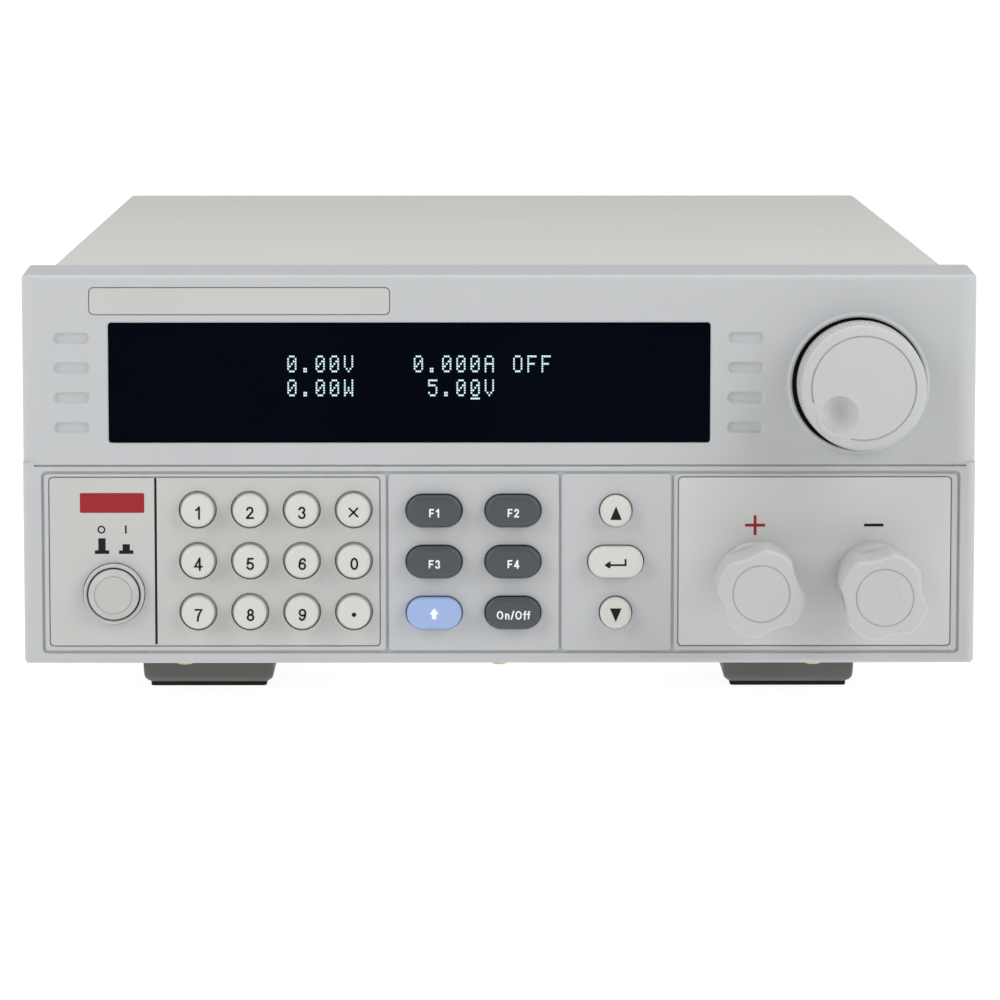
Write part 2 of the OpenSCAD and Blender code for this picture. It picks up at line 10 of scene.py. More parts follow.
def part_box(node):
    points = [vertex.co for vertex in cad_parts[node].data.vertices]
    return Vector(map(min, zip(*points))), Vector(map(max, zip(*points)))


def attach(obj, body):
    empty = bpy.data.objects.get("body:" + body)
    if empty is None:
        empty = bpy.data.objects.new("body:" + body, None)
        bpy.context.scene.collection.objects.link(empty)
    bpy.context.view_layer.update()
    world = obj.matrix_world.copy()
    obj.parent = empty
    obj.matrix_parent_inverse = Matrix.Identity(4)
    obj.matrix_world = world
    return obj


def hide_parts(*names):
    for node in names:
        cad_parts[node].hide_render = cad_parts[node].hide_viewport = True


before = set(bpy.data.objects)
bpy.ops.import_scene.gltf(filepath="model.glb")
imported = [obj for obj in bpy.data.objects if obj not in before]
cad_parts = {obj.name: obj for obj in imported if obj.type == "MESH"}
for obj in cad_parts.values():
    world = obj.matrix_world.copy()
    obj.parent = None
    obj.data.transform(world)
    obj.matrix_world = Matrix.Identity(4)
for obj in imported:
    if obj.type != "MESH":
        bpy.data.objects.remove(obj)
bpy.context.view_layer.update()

# All shapes below are written in millimetres, with y = 0 on the front panel's
# face and z = 0 on the floor; Y0 carries them into the CAD frame.
MM = 0.001
Y0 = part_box("top_cover")[0].y / MM - 12.0
ZB = 11.0
ZP = ZB + 0.7
BODY_D = 350.0
BEZEL_D = 21.5
CH = "chassis"
KEY_X = [-67.9 + 11.7 * i for i in range(4)]
ROW_Z = [ZP + 34.3 - 11.58 * j for j in range(3)]
OVAL_Z = [z - 0.2 for z in ROW_Z]
FUNC_X = [-14.7, 3.05]
NAV_X = 26.2
POW = (-86.85, ZP + 15.3)
COLLAR = (80.6, ZP + 62.83)
ENC = (80.9, ZP + 62.9)
POST_X = [57.6, 84.35]
POST_Z = ZP + 18.7
NEG_OPEN = 6.5
X, Y, Z = np.eye(3)


# ---------------------------------------------------------------- materials

def principled(name):
    m = bpy.data.materials.new(name)
    m.use_nodes = True
    return m, m.node_tree, m.node_tree.nodes["Principled BSDF"]


def srgb(r, g, b):
    def lin(c):
        c /= 255.0
        return c / 12.92 if c <= 0.04045 else ((c + 0.055) / 1.055) ** 2.4
    return (lin(r), lin(g), lin(b))


def surface(name, color, rough=0.5, metal=0.0, spec=0.5, vary=0.04, vary_scale=60.0,
            grain=1600.0, bump=0.05, depth=0.00004, rough_vary=0.08, coat=0.0, stretch=None, dust=0.0):
    """A procedural finish: a slow drift in colour, a varied roughness and a fine moulded or painted grain."""
    m, nt, bs = principled(name)
    bs.inputs["Metallic"].default_value = metal
    bs.inputs["Specular IOR Level"].default_value = spec
    if coat:
        bs.inputs["Coat Weight"].default_value = coat
        bs.inputs["Coat Roughness"].default_value = 0.12
    tc = nt.nodes.new("ShaderNodeTexCoord")
    vec = tc.outputs["Object"]
    if stretch:
        mp = nt.nodes.new("ShaderNodeMapping")
        mp.inputs["Scale"].default_value = stretch
        nt.links.new(vec, mp.inputs["Vector"])
        vec = mp.outputs["Vector"]
    slow = nt.nodes.new("ShaderNodeTexNoise")
    slow.inputs["Scale"].default_value = vary_scale
    slow.inputs["Detail"].default_value = 4.0
    nt.links.new(tc.outputs["Object"], slow.inputs["Vector"])
    ramp = nt.nodes.new("ShaderNodeValToRGB")
    lo = tuple(c * (1 - vary) for c in color)
    hi = tuple(min(1.0, c * (1 + vary)) for c in color)
    ramp.color_ramp.elements[0].position = 0.3
    ramp.color_ramp.elements[1].position = 0.7
    ramp.color_ramp.elements[0].color = (*lo, 1)
    ramp.color_ramp.elements[1].color = (*hi, 1)
    nt.links.new(slow.outputs["Fac"], ramp.inputs["Fac"])
    nt.links.new(ramp.outputs["Color"], bs.inputs["Base Color"])
    fine = nt.nodes.new("ShaderNodeTexNoise")
    fine.inputs["Scale"].default_value = grain
    fine.inputs["Detail"].default_value = 3.0
    fine.inputs["Roughness"].default_value = 0.6
    nt.links.new(vec, fine.inputs["Vector"])
    rr_ = nt.nodes.new("ShaderNodeMapRange")
    rr_.inputs["From Min"].default_value = 0.3
    rr_.inputs["From Max"].default_value = 0.7
    rr_.inputs["To Min"].default_value = max(0.02, rough - rough_vary)
    rr_.inputs["To Max"].default_value = min(1.0, rough + rough_vary)
    nt.links.new(fine.outputs["Fac"], rr_.inputs["Value"])
    nt.links.new(rr_.outputs["Result"], bs.inputs["Roughness"])
    if bump:
        bp = nt.nodes.new("ShaderNodeBump")
        bp.inputs["Strength"].default_value = bump
        bp.inputs["Distance"].default_value = depth
        nt.links.new(fine.outputs["Fac"], bp.inputs["Height"])
        nt.links.new(bp.outputs["Normal"], bs.inputs["Normal"])
    return m


def glow(name, color, strength):
    m, nt, bs = principled(name)
    bs.inputs["Base Color"].default_value = (0.02, 0.02, 0.02, 1)
    bs.inputs["Emission Color"].default_value = (*color, 1)
    bs.inputs["Emission Strength"].default_value = strength
    bs.inputs["Roughness"].default_value = 0.6
    return m


M_BEZEL = surface("bezel_moulding", srgb(184, 186, 188), rough=0.46, spec=0.35, vary=0.012, vary_scale=25, grain=2600, bump=0.06)
M_OVERLAY = surface("overlay_film", srgb(188, 189, 186), rough=0.42, spec=0.3, vary=0.012, vary_scale=30, grain=3200, bump=0.05)
# painted light: a lighter copy of overlay_film for the input label, brightened to offset the shade the binding posts
# cast on it
M_INPUT_FILM_PAINTED_LIGHT = surface("input_film_painted_lighter", srgb(198, 199, 197), rough=0.42, spec=0.3, vary=0.012, vary_scale=30, grain=3200, bump=0.05)
M_COVER = surface("cover_powder_coat", srgb(203, 203, 200), rough=0.55, spec=0.35, vary=0.012, vary_scale=30, grain=1500, bump=0.16, depth=0.00006)
M_TRAY = surface("tray_zinc", srgb(178, 181, 183), rough=0.38, metal=0.9, vary=0.06, vary_scale=120, grain=900, bump=0.05)
M_LENS = surface("window_acrylic", (0.0008, 0.0018, 0.0044), rough=0.16, spec=0.012, vary=0.25, vary_scale=18, grain=400, bump=0.0, rough_vary=0.04)
M_KEY = surface("key_white", srgb(203, 203, 198), rough=0.42, spec=0.4, vary=0.012, vary_scale=80, grain=2600, bump=0.04)
M_DARK = surface("key_slate", srgb(69, 73, 78), rough=0.45, spec=0.4, vary=0.04, vary_scale=90, grain=2600, bump=0.05)
M_BLUE = surface("key_blue", srgb(151, 173, 216), rough=0.42, spec=0.4, vary=0.02, vary_scale=80, grain=2600, bump=0.04)
M_KNOB = surface("knob_moulding", srgb(186, 188, 187), rough=0.48, spec=0.35, vary=0.015, vary_scale=60, grain=2400, bump=0.06)
M_POST = surface("post_moulding", srgb(184, 184, 183), rough=0.45, spec=0.4, vary=0.015, vary_scale=60, grain=2400, bump=0.05)
M_FOOT = surface("foot_moulding", srgb(101, 100, 96), rough=0.55, spec=0.35, vary=0.05, vary_scale=80, grain=1800, bump=0.1)
M_RUBBER = surface("pad_rubber", srgb(26, 26, 27), rough=0.8, spec=0.25, vary=0.2, vary_scale=200, grain=1400, bump=0.2)
M_BRASS = surface("brass_plated", srgb(196, 170, 112), rough=0.3, metal=1.0, vary=0.1, vary_scale=400, grain=2000, bump=0.05)
M_STEEL = surface("screw_zinc", srgb(190, 191, 193), rough=0.32, metal=1.0, vary=0.06, vary_scale=500, grain=2500, bump=0.05)
M_NICKEL = surface("contact_nickel", srgb(205, 203, 196), rough=0.25, metal=1.0, vary=0.05, vary_scale=300, grain=2500, bump=0.03)
M_COPPER = surface("copper_strap", srgb(196, 122, 84), rough=0.35, metal=1.0, vary=0.12, vary_scale=90, grain=900, bump=0.06)
M_ALLOY = surface("heatsink_alloy", srgb(188, 190, 192), rough=0.4, metal=0.9, vary=0.05, vary_scale=60, grain=1500, bump=0.08, stretch=(1, 0.05, 1))
M_BLACK = surface("black_moulding", srgb(30, 30, 31), rough=0.5, spec=0.4, vary=0.12, vary_scale=90, grain=1800, bump=0.09)
M_PCB = surface("circuit_board", srgb(22, 82, 44), rough=0.35, spec=0.5, vary=0.25, vary_scale=220, grain=700, bump=0.08)
M_CORE = surface("core_laminations", srgb(88, 88, 90), rough=0.45, metal=0.6, vary=0.15, vary_scale=60, grain=3000, bump=0.12, stretch=(0.05, 1, 0.05))
M_COIL = surface("winding_tape", srgb(178, 128, 60), rough=0.5, spec=0.4, vary=0.12, vary_scale=90, grain=500, bump=0.1)
M_GREEN = surface("terminal_moulding", srgb(44, 128, 84), rough=0.42, spec=0.4, vary=0.06, vary_scale=120, grain=1800, bump=0.07)
M_TUBE = surface("tube_glass", srgb(22, 28, 30), rough=0.1, spec=0.5, vary=0.1, vary_scale=60, grain=400, bump=0.0)
M_INSUL = surface("connector_insert", srgb(38, 40, 44), rough=0.5, spec=0.4, vary=0.1, vary_scale=200, grain=2000, bump=0.06)
M_INK = surface("print_black", srgb(17, 18, 20), rough=0.55, spec=0.2, vary=0.05, vary_scale=300, grain=3000, bump=0.03)
M_WHITE = surface("print_white", srgb(236, 238, 240), rough=0.5, spec=0.3, vary=0.02, vary_scale=300, grain=3000, bump=0.03)
M_RED = surface("print_red", srgb(148, 28, 37), rough=0.45, spec=0.3, vary=0.05, vary_scale=150, grain=3000, bump=0.03)
# painted shade: near-black colour on the floor and bore of the knob's well, standing in for the shadow in the deep gap
# round the knob
M_WELL_PAINTED_SHADE = surface("well_painted_shade", srgb(24, 24, 26), rough=0.6, spec=0.2, vary=0.1, vary_scale=120, grain=2000, bump=0.05)
M_BUTTON = surface("button_moulding", srgb(181, 182, 178), rough=0.42, spec=0.4, vary=0.012, vary_scale=80, grain=2600, bump=0.04)
M_GLOW = glow("display_glow", (0.68, 0.93, 0.93), 1.05)


# ---------------------------------------------------------------- outlines

def rr(cx, cz, w, h, r, seg=6):
    r = max(r, 0.02)
    pts = []
    for k, (sx, sz) in enumerate(((1, 1), (-1, 1), (-1, -1), (1, -1))):
        for i in range(seg + 1):
            a = math.radians(90 * k + 90 * i / seg)
            pts.append((cx + sx * (w / 2 - r) + r * math.cos(a), cz + sz * (h / 2 - r) + r * math.sin(a)))
    return np.array(pts)


def S_rr(cx, cz, w, h, r, seg=6):
    return lambda d: rr(cx, cz, w + 2 * d, h + 2 * d, r + d, seg)


def S_circ(cx, cz, r, n=64):
    a = np.linspace(0, 2 * math.pi, n, endpoint=False)
    return lambda d: np.column_stack([cx + (r + d) * np.cos(a), cz + (r + d) * np.sin(a)])


def S_stad(cx, cz, w, h, seg=16, upright=False):
    def f(d):
        r, e = h / 2 + d, (w - h) / 2
        pts = []
        for k, s in enumerate((1, -1)):
            for i in range(seg + 1):
                a = math.radians(-90 + 180 * k + 180 * i / seg)
                pts.append((s * e + r * math.cos(a), r * math.sin(a)))
        p = np.array(pts)
        if upright:
            p = np.column_stack([-p[:, 1], p[:, 0]])
        return p + [cx, cz]
    return f


def S_poly(pts, r, seg=5):
    """A convex outline, counter-clockwise, with its corners rounded."""
    pts = np.array(pts, float)
    n = len(pts)
    nrm = []
    for i in range(n):
        e = pts[(i + 1) % n] - pts[i]
        e /= np.linalg.norm(e)
        nrm.append(np.array([e[1], -e[0]]))

    def f(d):
        out = []
        for i in range(n):
            a, b = nrm[i - 1], nrm[i]
            m = np.array([a, b])
            c = np.linalg.solve(m, [a @ pts[i] - r, b @ pts[i] - r])
            t0 = math.atan2(a[1], a[0])
            t1 = math.atan2(b[1], b[0])
            while t1 < t0:
                t1 += 2 * math.pi
            for k in range(seg + 1):
                t = t0 + (t1 - t0) * k / seg
                out.append(c + (r + d) * np.array([math.cos(t), math.sin(t)]))
        return np.array(out)
    return f


def S_arc(cx, cz, r, hw, a0, a1, n=96, cap=6):
    """A band along an arc, with round ends."""
    def f(d):
        w = hw + d
        out = []
        for i in range(n + 1):
            a = math.radians(a0 + (a1 - a0) * i / n)
            out.append((cx + (r + w) * math.cos(a), cz + (r + w) * math.sin(a)))
        for end, start in ((a1, 0), (a0, 180)):
            e = math.radians(end)
            ex, ez = cx + r * math.cos(e), cz + r * math.sin(e)
            for k in range(1, cap):
                t = e + math.radians(start + 180 * k / cap)
                out.append((ex + w * math.cos(t), ez + w * math.sin(t)))
            if start == 0:
                for i in range(n + 1):
                    a = math.radians(a1 + (a0 - a1) * i / n)
                    out.append((cx + (r - w) * math.cos(a), cz + (r - w) * math.sin(a)))
        return np.array(out)
    return f


def S_cross(arm, half):
    def f(d):
        a, h = arm + d, half + d
        return np.array([(a, -h), (a, h), (h, h), (h, a), (-h, a), (-h, h), (-a, h), (-a, -h), (-h, -h), (-h, -a), (h, -a), (h, -h)])
    return f


def edge(r, n=4):
    """A rounded edge from a face into a hole."""
    return [(r - r * math.sin(t), r - r * math.cos(t)) for t in np.linspace(0, math.pi / 2, n + 1)]


def crown(r, n=4, y=0.0, d=0.0):
    """A rounded edge from a wall up on to a face."""
    return [(d - r + r * math.cos(t), y + r - r * math.sin(t)) for t in np.linspace(0, math.pi / 2, n + 1)]


def foot_of(depth, r, n=3):
    """A rounded inner corner where a wall meets a floor."""
    return [(-r + r * math.cos(t), depth - r + r * math.sin(t)) for t in np.linspace(0, math.pi / 2, n + 1)]


def inside(poly, p):
    x, y = p[:, 0][:, None], p[:, 1][:, None]
    ax, ay = poly[:, 0][None], poly[:, 1][None]
    q = np.roll(poly, -1, axis=0)
    bx, by = q[:, 0][None], q[:, 1][None]
    dy = np.where(np.abs(by - ay) < 1e-12, 1e-12, by - ay)
    hit = ((ay > y) != (by > y)) & (x < (bx - ax) * (y - ay) / dy + ax)
    return hit.sum(1) % 2 == 1


# ---------------------------------------------------------------- mesh builder

class Builder:
    """Collects rings, strips and flat fills. A ring is an outline laid in the current plane; rings
    run from the rim of a surface inwards, so every face looks out of the solid."""

    def __init__(self):
        self.v, self.f, self.m, self.s, self.mat = [], [], [], [], 0
        self.plane((0, 0, 0), -Y, X)

    def plane(self, o, n, u):
        self.o, self.n, self.u = np.array(o, float), np.array(n, float), np.array(u, float)
        self.w = np.cross(self.n, self.u)
        return self

    def pts(self, p):
        i = len(self.v)
        self.v.extend(np.asarray(p, float).tolist())
        return list(range(i, i + len(p)))

    def ring(self, c, depth):
        c = np.asarray(c, float)
        dep = np.broadcast_to(np.asarray(depth, float), (len(c),))
        return self.pts(self.o + c[:, :1] * self.u + c[:, 1:] * self.w - dep[:, None] * self.n)

    def face(self, t, smooth=True):
        self.f.append(tuple(t))
        self.m.append(self.mat)
        self.s.append(smooth)

    def bridge(self, a, b):
        n = len(a)
        for i in range(n):
            j = (i + 1) % n
            self.face((a[i], a[j], b[j], b[i]))

    def chain(self, shape, profile, base=0.0, first=None):
        prev = first
        rings = []
        for d, y in profile:
            r = self.ring(shape(d), base + y)
            if prev is not None:
                self.bridge(prev, r)
            rings.append(r)
            prev = r
        return rings[0], rings[-1]

    def flat(self, idx):
        p = np.array([self.v[i] for i in idx]) - self.o
        return np.column_stack([p @ self.u, p @ self.w])

    def fill(self, outer, holes=(), flip=False):
        loops = [outer, *holes]
        idx = [i for l in loops for i in l]
        co = self.flat(idx)
        edges, k = [], 0
        for l in loops:
            edges += [(k + i, k + (i + 1) % len(l)) for i in range(len(l))]
            k += len(l)
        out = delaunay_2d_cdt([Vector(c) for c in co], edges, [], 0, 1e-7)
        vv = np.array([tuple(c) for c in out[0]])
        tris = np.array([t for t in out[2] if len(t) == 3])
        cen = vv[tris].mean(1)
        ok = inside(self.flat(outer), cen)
        for h in holes:
            ok &= ~inside(self.flat(h), cen)
        src = [o[0] if len(o) else -1 for o in out[3]]
        for t in tris[ok]:
            s = [src[i] for i in t]
            if min(s) < 0:
                continue
            a, b, c = (vv[i] for i in t)
            ccw = (b[0] - a[0]) * (c[1] - a[1]) - (b[1] - a[1]) * (c[0] - a[0])
            s = [idx[i] for i in s]
            if (ccw < 0) != flip:
                s.reverse()
            self.face(s, False)

    def lathe(self, cx, cz, prof, n=64, close=(True, True)):
        """Rings of (radius, depth) from the rim inwards round a point of the plane."""
        a = np.linspace(0, 2 * math.pi, n, endpoint=False)
        prev = first = None
        for r, y in prof:
            ring = self.ring(np.column_stack([cx + r * np.cos(a), cz + r * np.sin(a)]), y)
            if prev is not None:
                self.bridge(prev, ring)
            first = first or ring
            prev = ring
        if close[0]:
            self.fan(first, True)
        if close[1]:
            self.fan(prev, False)
        return first, prev

    def fan(self, ring, flip):
        c = self.pts([np.mean([self.v[i] for i in ring], axis=0)])[0]
        n = len(ring)
        for i in range(n):
            j = (i + 1) % n
            self.face((ring[j], ring[i], c) if flip else (ring[i], ring[j], c))

    def block(self, lo, hi):
        lo, hi = np.array(lo, float), np.array(hi, float)
        p = [[(lo, hi)[a][0], (lo, hi)[b][1], (lo, hi)[c][2]] for a in (0, 1) for b in (0, 1) for c in (0, 1)]
        i = self.pts(p)
        for q in ((0, 1, 3, 2), (4, 6, 7, 5), (0, 4, 5, 1), (2, 3, 7, 6), (0, 2, 6, 4), (1, 5, 7, 3)):
            self.face([i[k] for k in q])

    def make(self, name, mats, body=CH, replaces=(), slot=None, sharp=42, weighted=True):
        me = bpy.data.meshes.new(name)
        v = (np.array(self.v) + [0, Y0, 0]) * MM
        me.from_pydata(v.tolist(), [], self.f)
        for m in mats if isinstance(mats, (list, tuple)) else [mats]:
            me.materials.append(m)
        me.polygons.foreach_set("material_index", self.m)
        me.polygons.foreach_set("use_smooth", self.s)
        me.validate()
        me.update()
        me.set_sharp_from_angle(angle=math.radians(sharp))
        ob = bpy.data.objects.new(name, me)
        bpy.context.scene.collection.objects.link(ob)
        if weighted:
            w = ob.modifiers.new("normals", "WEIGHTED_NORMAL")
            w.keep_sharp = True
            w.weight = 60
        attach(ob, body)
        if replaces:
            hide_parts(*([replaces] if isinstance(replaces, str) else replaces))
        return ob


# ---------------------------------------------------------------- front bezel

def build_bezel():
    b = Builder()
    W, H, seg, D = 214.5, 88.7, 10, BEZEL_D
    mid = ZB + H / 2
    step = ZP + 44.95
    cut = lambda c: np.vstack([c[:2 * seg + 2], [(c[2 * seg + 1][0], step + 0.12), (c[2 * seg + 2][0], step - 0.12)],
                               c[2 * seg + 2:], [(c[-1][0], step - 0.12), (c[0][0], step + 0.12)]])
    cav = lambda d: cut(rr(0, mid, W - 2.8 + 2 * d, H - 4 + 2 * d, 0.3 + d, seg))
    out = lambda d: cut(rr(0, mid, W + 2 * d, H + 2 * d, 1 + d, seg))
    cavity = b.ring(cav(0), 2.5)
    prev = cavity
    for c, y in ((cav(0), D - 0.3), (cav(0.3), D), (out(-0.45), D), (out(-0.13), D - 0.13), (out(0), D - 0.45)):
        r = b.ring(c, y)
        b.bridge(prev, r)
        prev = r
    # the upright front edges roll off further than the top and bottom ones, most of all beside the display
    def flat_at(d):
        hi, lo = rr(0, mid - 0.45, W - 8.8 - d, H - 3.5 - d, 0.8, seg), rr(0, mid - 0.45, W - 3.7 - d, H - 3.5 - d, 0.8, seg)
        c = np.vstack([hi[:2 * seg + 2], lo[2 * seg + 2:]])
        return cut(c)

    # the top falls a little toward the front
    o, flat = cut(rr(0, mid - 0.4, W, H - 0.8, 1, seg)), flat_at(0)
    ang = np.concatenate([np.radians(np.linspace(90 * k, 90 * k + 90, seg + 1)) for k in range(4)])
    deep = np.where(ang < math.pi + 1e-9, 3.4, 2.1)
    deep[2 * seg + 2:] = 2.1
    deep = np.concatenate([deep[:2 * seg + 2], [3.4, 2.1], deep[2 * seg + 2:], [2.1, 3.4]])
    ang = np.concatenate([ang[:2 * seg + 2], [math.pi, math.pi], ang[2 * seg + 2:], [0, 0]])
    roll = deep * np.cos(ang) ** 2 + 1.3 * np.sin(ang) ** 2
    for t in np.linspace(0, math.pi / 2, 14):
        r = b.ring(o + (flat - o) * (1 - math.cos(t)), roll * (1 - math.sin(t)))
        b.bridge(prev, r)
        prev = r
    front = b.ring(flat_at(0.3), 0)
    b.bridge(prev, front)
    holes, through = [], []
    # groove under the display
    g0, g1 = b.chain(S_rr(0.1, ZP + 44.25, 209.6, 0.4, 0.19, 5), [(0.2, 0), (0.14, 0), (0.05, 0.04), (0.0, 0.14), (-0.03, 0.5), (-0.08, 0.6)])
    b.fill(g1)
    holes.append(g0)
    # lower panel: a groove round four raised tiles
    f0, f1 = b.chain(S_rr(0.325, ZP + 22.32, 206.75, 41.36, 1.2, 6), [(0.26, 0)] + edge(0.18) + [(0, 0.5)] + foot_of(0.62, 0.08))
    holes.append(f0)
    cuts = [(-102.43, -25.54), (-24.96, 13.41), (13.99, 38.76), (39.34, 103.08)]
    tile_base, tile_top = [], []
    for x0, x1 in cuts:
        s = S_rr((x0 + x1) / 2, ZP + 22.33, x1 - x0, 40.14, 0.9, 6)
        t0, t1 = b.chain(s, [(0.06, 0.62), (0.01, 0.58), (0, 0.4)] + crown(0.26, 5) + [(-0.36, 0)])
        tile_base.append(t0)
        tile_top.append(t1)
    b.fill(f1, tile_base)
    through_edge = [(0.24, 0)] + edge(0.18, 3) + [(0, 2.5)]
    pocket = [(0.16, 0)] + edge(0.1, 2) + [(0, 0.55)]
    # tile with the keypad label
    p0, p1 = b.chain(S_rr(-64.12, ZP + 22.5, 74.7, 38.6, 1.0, 6), pocket)
    b.fill(tile_top[0], [p0])
    sub = []
    for x in KEY_X:
        for z in ROW_Z:
            k0, k1 = b.chain(S_circ(x, z, 4.25, 56), [(0, 0.55), (0, 2.5)])
            sub.append(k0)
            through.append(k1)
    c0, c1 = b.chain(S_circ(POW[0], POW[1], 6.82, 96), [(0, 0.55), (0, -1.2), (-0.05, -1.42), (-0.16, -1.56), (-0.32, -1.6),
                     (-0.5, -1.6), (-0.66, -1.56), (-0.78, -1.42), (-0.82, -1.2), (-0.82, 2.5)])
    sub.append(c0)
    through.append(c1)
    b.fill(p1, sub)
    # tiles with the function keys and the arrow keys
    sub = []
    for x in FUNC_X:
        for z in OVAL_Z:
            k0, k1 = b.chain(S_stad(x, z, 12.8, 7.5, 20), through_edge)
            sub.append(k0)
            through.append(k1)
    b.fill(tile_top[1], sub)
    sub = []
    k0, k1 = b.chain(S_stad(NAV_X, OVAL_Z[1], 12.8, 7.5, 20), through_edge)
    sub.append(k0)
    through.append(k1)
    for z in (OVAL_Z[0], OVAL_Z[2]):
        k0, k1 = b.chain(S_circ(NAV_X, z, 3.75, 56), through_edge)
        sub.append(k0)
        through.append(k1)
    b.fill(tile_top[2], sub)
    # tile with the input label
    p0, p1 = b.chain(S_rr(71.03, ZP + 22.5, 61.7, 38.6, 1.0, 6), pocket)
    b.fill(tile_top[3], [p0])
    sub = []
    for x in POST_X:
        k0, k1 = b.chain(S_circ(x, POST_Z, 6.0, 48), [(0, 0.55), (0, 2.5)])
        sub.append(k0)
        through.append(k1)
    b.fill(p1, sub)
    # display opening
    w0, w1 = b.chain(S_rr(-20.2, ZP + 62.95, 135.2, 27.1, 0.7, 6), [(0.5, 0), (0.4, 0), (0.28, 0.03), (0.12, 0.18), (0.02, 0.34), (0, 0.5), (0, 2.5)])
    holes.append(w0)
    through.append(w1)
    # blank name plate's pocket
    n0, n1 = b.chain(S_rr(-58.3, ZP + 81.35, 67.6, 6.3, 1.2, 6), pocket)
    b.fill(n1)
    holes.append(n0)
    # dents beside the display
    for x in (-95.95, 55.4):
        for j in range(4):
            d0, d1 = b.chain(S_rr(x, ZP + 73 - 6.7 * j, 7.95, 2.2, 1.0, 8),
                             [(0.5, 0), (0.38, 0), (0.22, 0.05), (0.1, 0.17), (0.02, 0.34), (-0.06, 0.52), (-0.2, 0.62), (-0.38, 0.66), (-0.55, 0.66)])
            b.fill(d1)
            holes.append(d0)
    # collar of the jog knob, and its well, painted near-black as painted shade
    c0, c1 = b.chain(S_circ(COLLAR[0], COLLAR[1], 15.9, 144), [(0.42, 0), (0.32, 0), (0.1, -0.06), (0.0, -0.3), (-0.02, -1.15), (-0.1, -1.4), (-0.28, -1.56),
                     (-0.5, -1.6), (-0.72, -1.56), (-0.9, -1.4), (-0.98, -1.15), (-1.0, -0.9)])
    holes.append(c0)
    # painted shade: the well's floor and the bore take the near-black material
    b.mat = 1
    d0, d1 = b.chain(S_circ(COLLAR[0], COLLAR[1], 15.9, 144), [(-1.0, 1.0), (-1.1, 1.1), (-11.4, 1.1)], first=c1)
    e0, e1 = b.chain(S_circ(ENC[0], ENC[1], 3.7, 144), [(0.12, 1.1), (0, 1.22), (0, 2.5)])
    b.fill(d1, [e0])
    b.mat = 0
    through.append(e1)
    b.fill(front, holes)
    b.fill(cavity, through, flip=True)
    # bosses for the board behind
    for x, z in ((-95, 81), (62, 81), (95, 81), (-95.5, 45), (-25.4, 8.5), (40, 8.5)):
        b.plane((x, 2.4, ZB + z), Y, -X)
        b.lathe(0, 0, [(2.5, 0), (2.5, -8.1), (1.55, -8.1), (1.55, -2.0)], 24)
        b.plane((0, 0, 0), -Y, X)
    b.make("bezel_shell", [M_BEZEL, M_WELL_PAINTED_SHADE], replaces="front_bezel", slot="bezel_plastic", sharp=50)


build_bezel()


# ---------------------------------------------------------------- labels, window

def plate(name, shape, holes, mat, node, slot, top=0.05, bottom=0.3, r=0.07):
    b = Builder()
    o0, o1 = b.chain(shape, [(0, bottom), (0, top + r)] + [(d, top + y) for d, y in crown(r, 3)][1:])
    tops, bots = [], []
    for h in holes:
        h0, h1 = b.chain(h, [(0.04, top), (0, top + 0.04), (0, bottom)])
        tops.append(h0)
        bots.append(h1)
    b.fill(o1, tops)
    b.fill(o0, bots, flip=True)
    return b.make(name, mat, replaces=node, slot=slot, sharp=40)


plate("keypad_film", S_rr(-64.12, ZP + 22.5, 74.2, 38.1, 0.85, 6),
      [S_circ(x, z, 4.28, 56) for x in KEY_X for z in ROW_Z] + [S_circ(POW[0], POW[1], 7.02, 96)],
      M_OVERLAY, "keypad_overlay", "overlay_film")
# painted light: the input label's film uses the lighter copy of the overlay colour
plate("input_film_painted_lighter", S_rr(71.03, ZP + 22.5, 61.2, 38.1, 0.85, 6), [S_circ(x, POST_Z, 6.1, 48) for x in POST_X],
      M_INPUT_FILM_PAINTED_LIGHT, "input_overlay", "overlay_film")
plate("name_film", S_rr(-58.3, ZP + 81.35, 67.2, 5.9, 1.05, 6), [], M_OVERLAY, "name_plate", "overlay_film")


def build_lens():
    b = Builder()
    o0, o1 = b.chain(S_rr(-20.2, ZP + 62.95, 134.8, 26.7, 0.5, 5),
                     [(1.8, 3.6), (1.8, 2.55), (0, 2.5), (0, 0.66), (-0.05, 0.5), (-0.14, 0.43), (-0.3, 0.4)])
    b.fill(o1)
    b.fill(o0, flip=True)
    b.make("window_lens", M_LENS, replaces="display_lens", slot="tinted_window")


build_lens()

# dot-matrix numerals and unit signs, five columns by seven rows
GLYPH = {
    "0": "01110 10001 10011 10101 11001 10001 01110", "1": "00100 01100 00100 00100 00100 00100 01110",
    "2": "01110 10001 00001 00010 00100 01000 11111", "5": "11111 10000 11110 00001 00001 10001 01110",
    ".": "00000 00000 00000 00000 00000 01100 01100", "_": "00000 00000 00000 00000 00000 00000 00000",
    "V": "10001 10001 10001 10001 10001 01010 00100", "A": "01110 10001 10001 11111 10001 10001 10001",
    "W": "10001 10001 10001 10101 10101 11011 10001", "O": "01110 10001 10001 10001 10001 10001 01110",
    "F": "11111 10000 10000 11110 10000 10000 10000",
}


